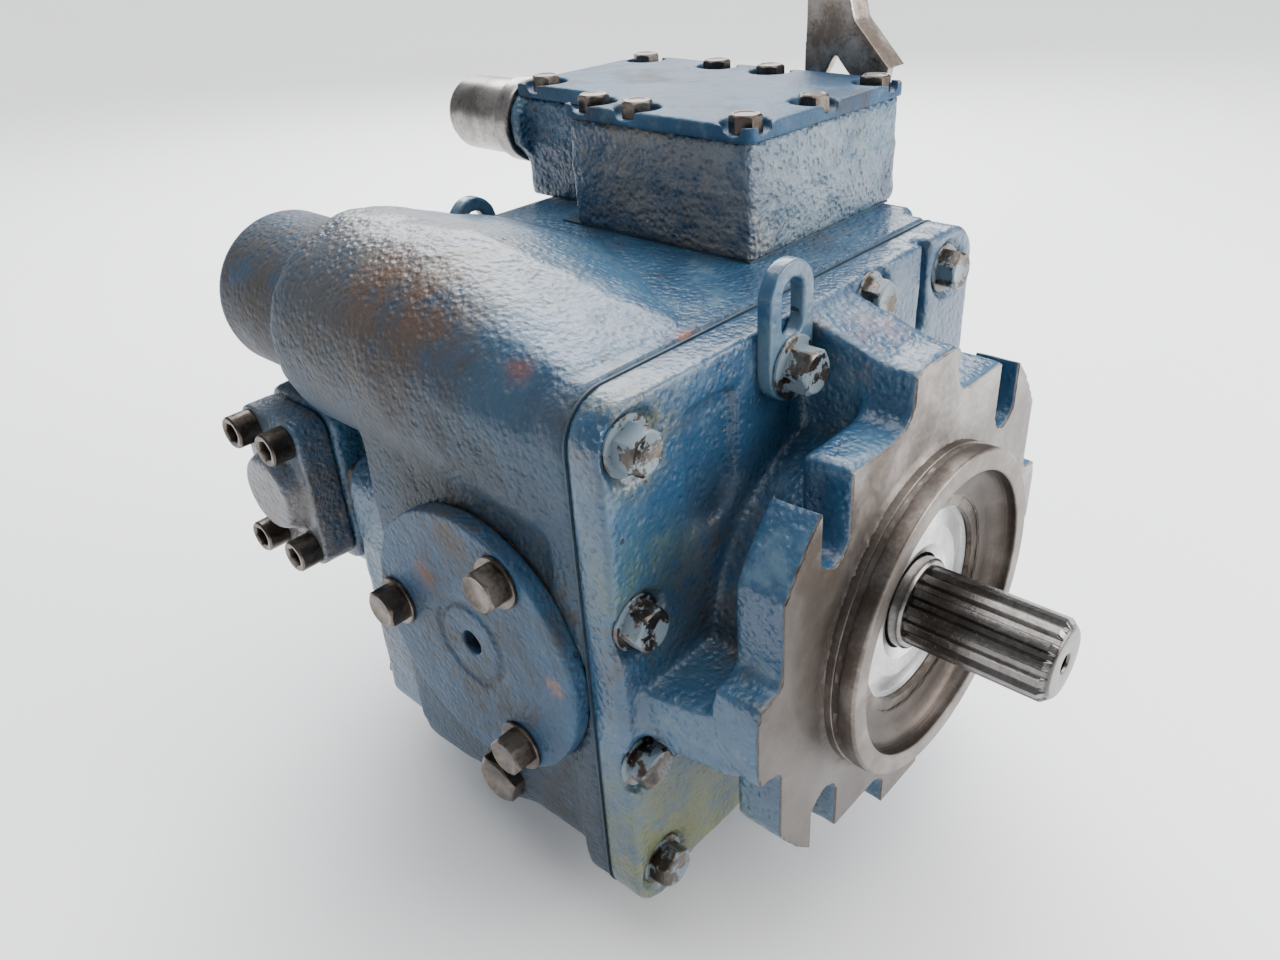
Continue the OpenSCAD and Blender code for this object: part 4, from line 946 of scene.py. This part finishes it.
def floor():
    """A wide, flat, pale floor."""
    reach = 6.0
    corners = [(-reach, -reach), (reach, -reach), (reach, reach), (-reach, reach)]
    mesh = bpy.data.meshes.new("floor")
    mesh.from_pydata([(x, y, FLOOR_Z) for x, y in corners], [], [(0, 1, 2, 3)])
    f = Finish("floor_paper")
    colour = f.mix(f.rise(f.noise(500, 2), 0.3, 0.7), (0.95, 0.95, 0.95), (0.97, 0.97, 0.97))
    mesh.materials.append(f.done(colour, 0.75))
    sheet = bpy.data.objects.new("floor", mesh)
    bpy.context.scene.collection.objects.link(sheet)
    sheet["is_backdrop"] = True


floor()


def lamp(name, place, aim, size, power, colour):
    """A rectangular lamp at a place, facing a point; size in metres and power in watts."""
    data = bpy.data.lights.new(name, "AREA")
    data.shape = "RECTANGLE"
    data.size, data.size_y = size
    data.energy = power
    data.color = colour
    made = bpy.data.objects.new(name, data)
    made.location = place
    made.rotation_mode = "QUATERNION"
    made.rotation_quaternion = (Vector(aim) - Vector(place)).to_track_quat("-Z", "Y")
    bpy.context.scene.collection.objects.link(made)


lamp("back_sky", (0.95, 1.05, 0.95), (0, 0.10, 0.05), (1.3, 0.9), 38, (0.97, 0.99, 1.0))
lamp("front_fill", (0.75, -1.15, 0.55), (0, 0.02, 0.0), (1.1, 0.9), 32, (1.0, 0.98, 0.96))


def sun():
    """Wide soft daylight from above, a little behind and to the right, even over the floor."""
    data = bpy.data.lights.new("daylight", "SUN")
    data.angle = math.radians(75)
    data.energy = 4.3
    data.color = (0.96, 0.98, 1.0)
    made = bpy.data.objects.new("daylight", data)
    made.rotation_mode = "QUATERNION"
    made.rotation_quaternion = Vector((-0.30, -0.10, -1.0)).to_track_quat("-Z", "Y")
    bpy.context.scene.collection.objects.link(made)


sun()

world = bpy.data.worlds.new("studio")
bpy.context.scene.world = world
world.use_nodes = True
world.node_tree.nodes["Background"].inputs[0].default_value = (0.94, 0.96, 1.0, 1)
world.node_tree.nodes["Background"].inputs[1].default_value = 0.36

# The camera stands close, above and to the left of the drive end. Its angles are in degrees,
# its place is in millimetres, and its shift is a share of the frame's width.
AZIMUTH, ELEVATION, ROLL = (math.radians(a) for a in (-48.3203, 30.9861, 2.5090))
CAMERA_AT = Vector((-284.92, -138.01, 237.22)) * MM
SENSOR_MM = 36
LENS_MM = 28.9734
SHIFT = (-0.030531, 0.005466)


def camera():
    """Builds the camera from its azimuth, elevation and roll."""
    back = Vector((math.sin(AZIMUTH) * math.cos(ELEVATION), -math.cos(AZIMUTH) * math.cos(ELEVATION),
                   math.sin(ELEVATION)))
    forward = -back
    right = forward.cross(Vector((0, 0, 1))).normalized()
    down = forward.cross(right)
    across = math.cos(ROLL) * right + math.sin(ROLL) * down
    up = math.sin(ROLL) * right - math.cos(ROLL) * down
    data = bpy.data.cameras.new("camera")
    data.sensor_width = SENSOR_MM
    data.lens = LENS_MM
    data.shift_x, data.shift_y = SHIFT
    data.clip_start, data.clip_end = 0.01, 50
    made = bpy.data.objects.new("camera", data)
    made.rotation_mode = "QUATERNION"
    made.location = CAMERA_AT
    made.rotation_quaternion = Matrix((across, up, back)).transposed().to_quaternion()
    bpy.context.scene.collection.objects.link(made)
    bpy.context.scene.camera = made


camera()
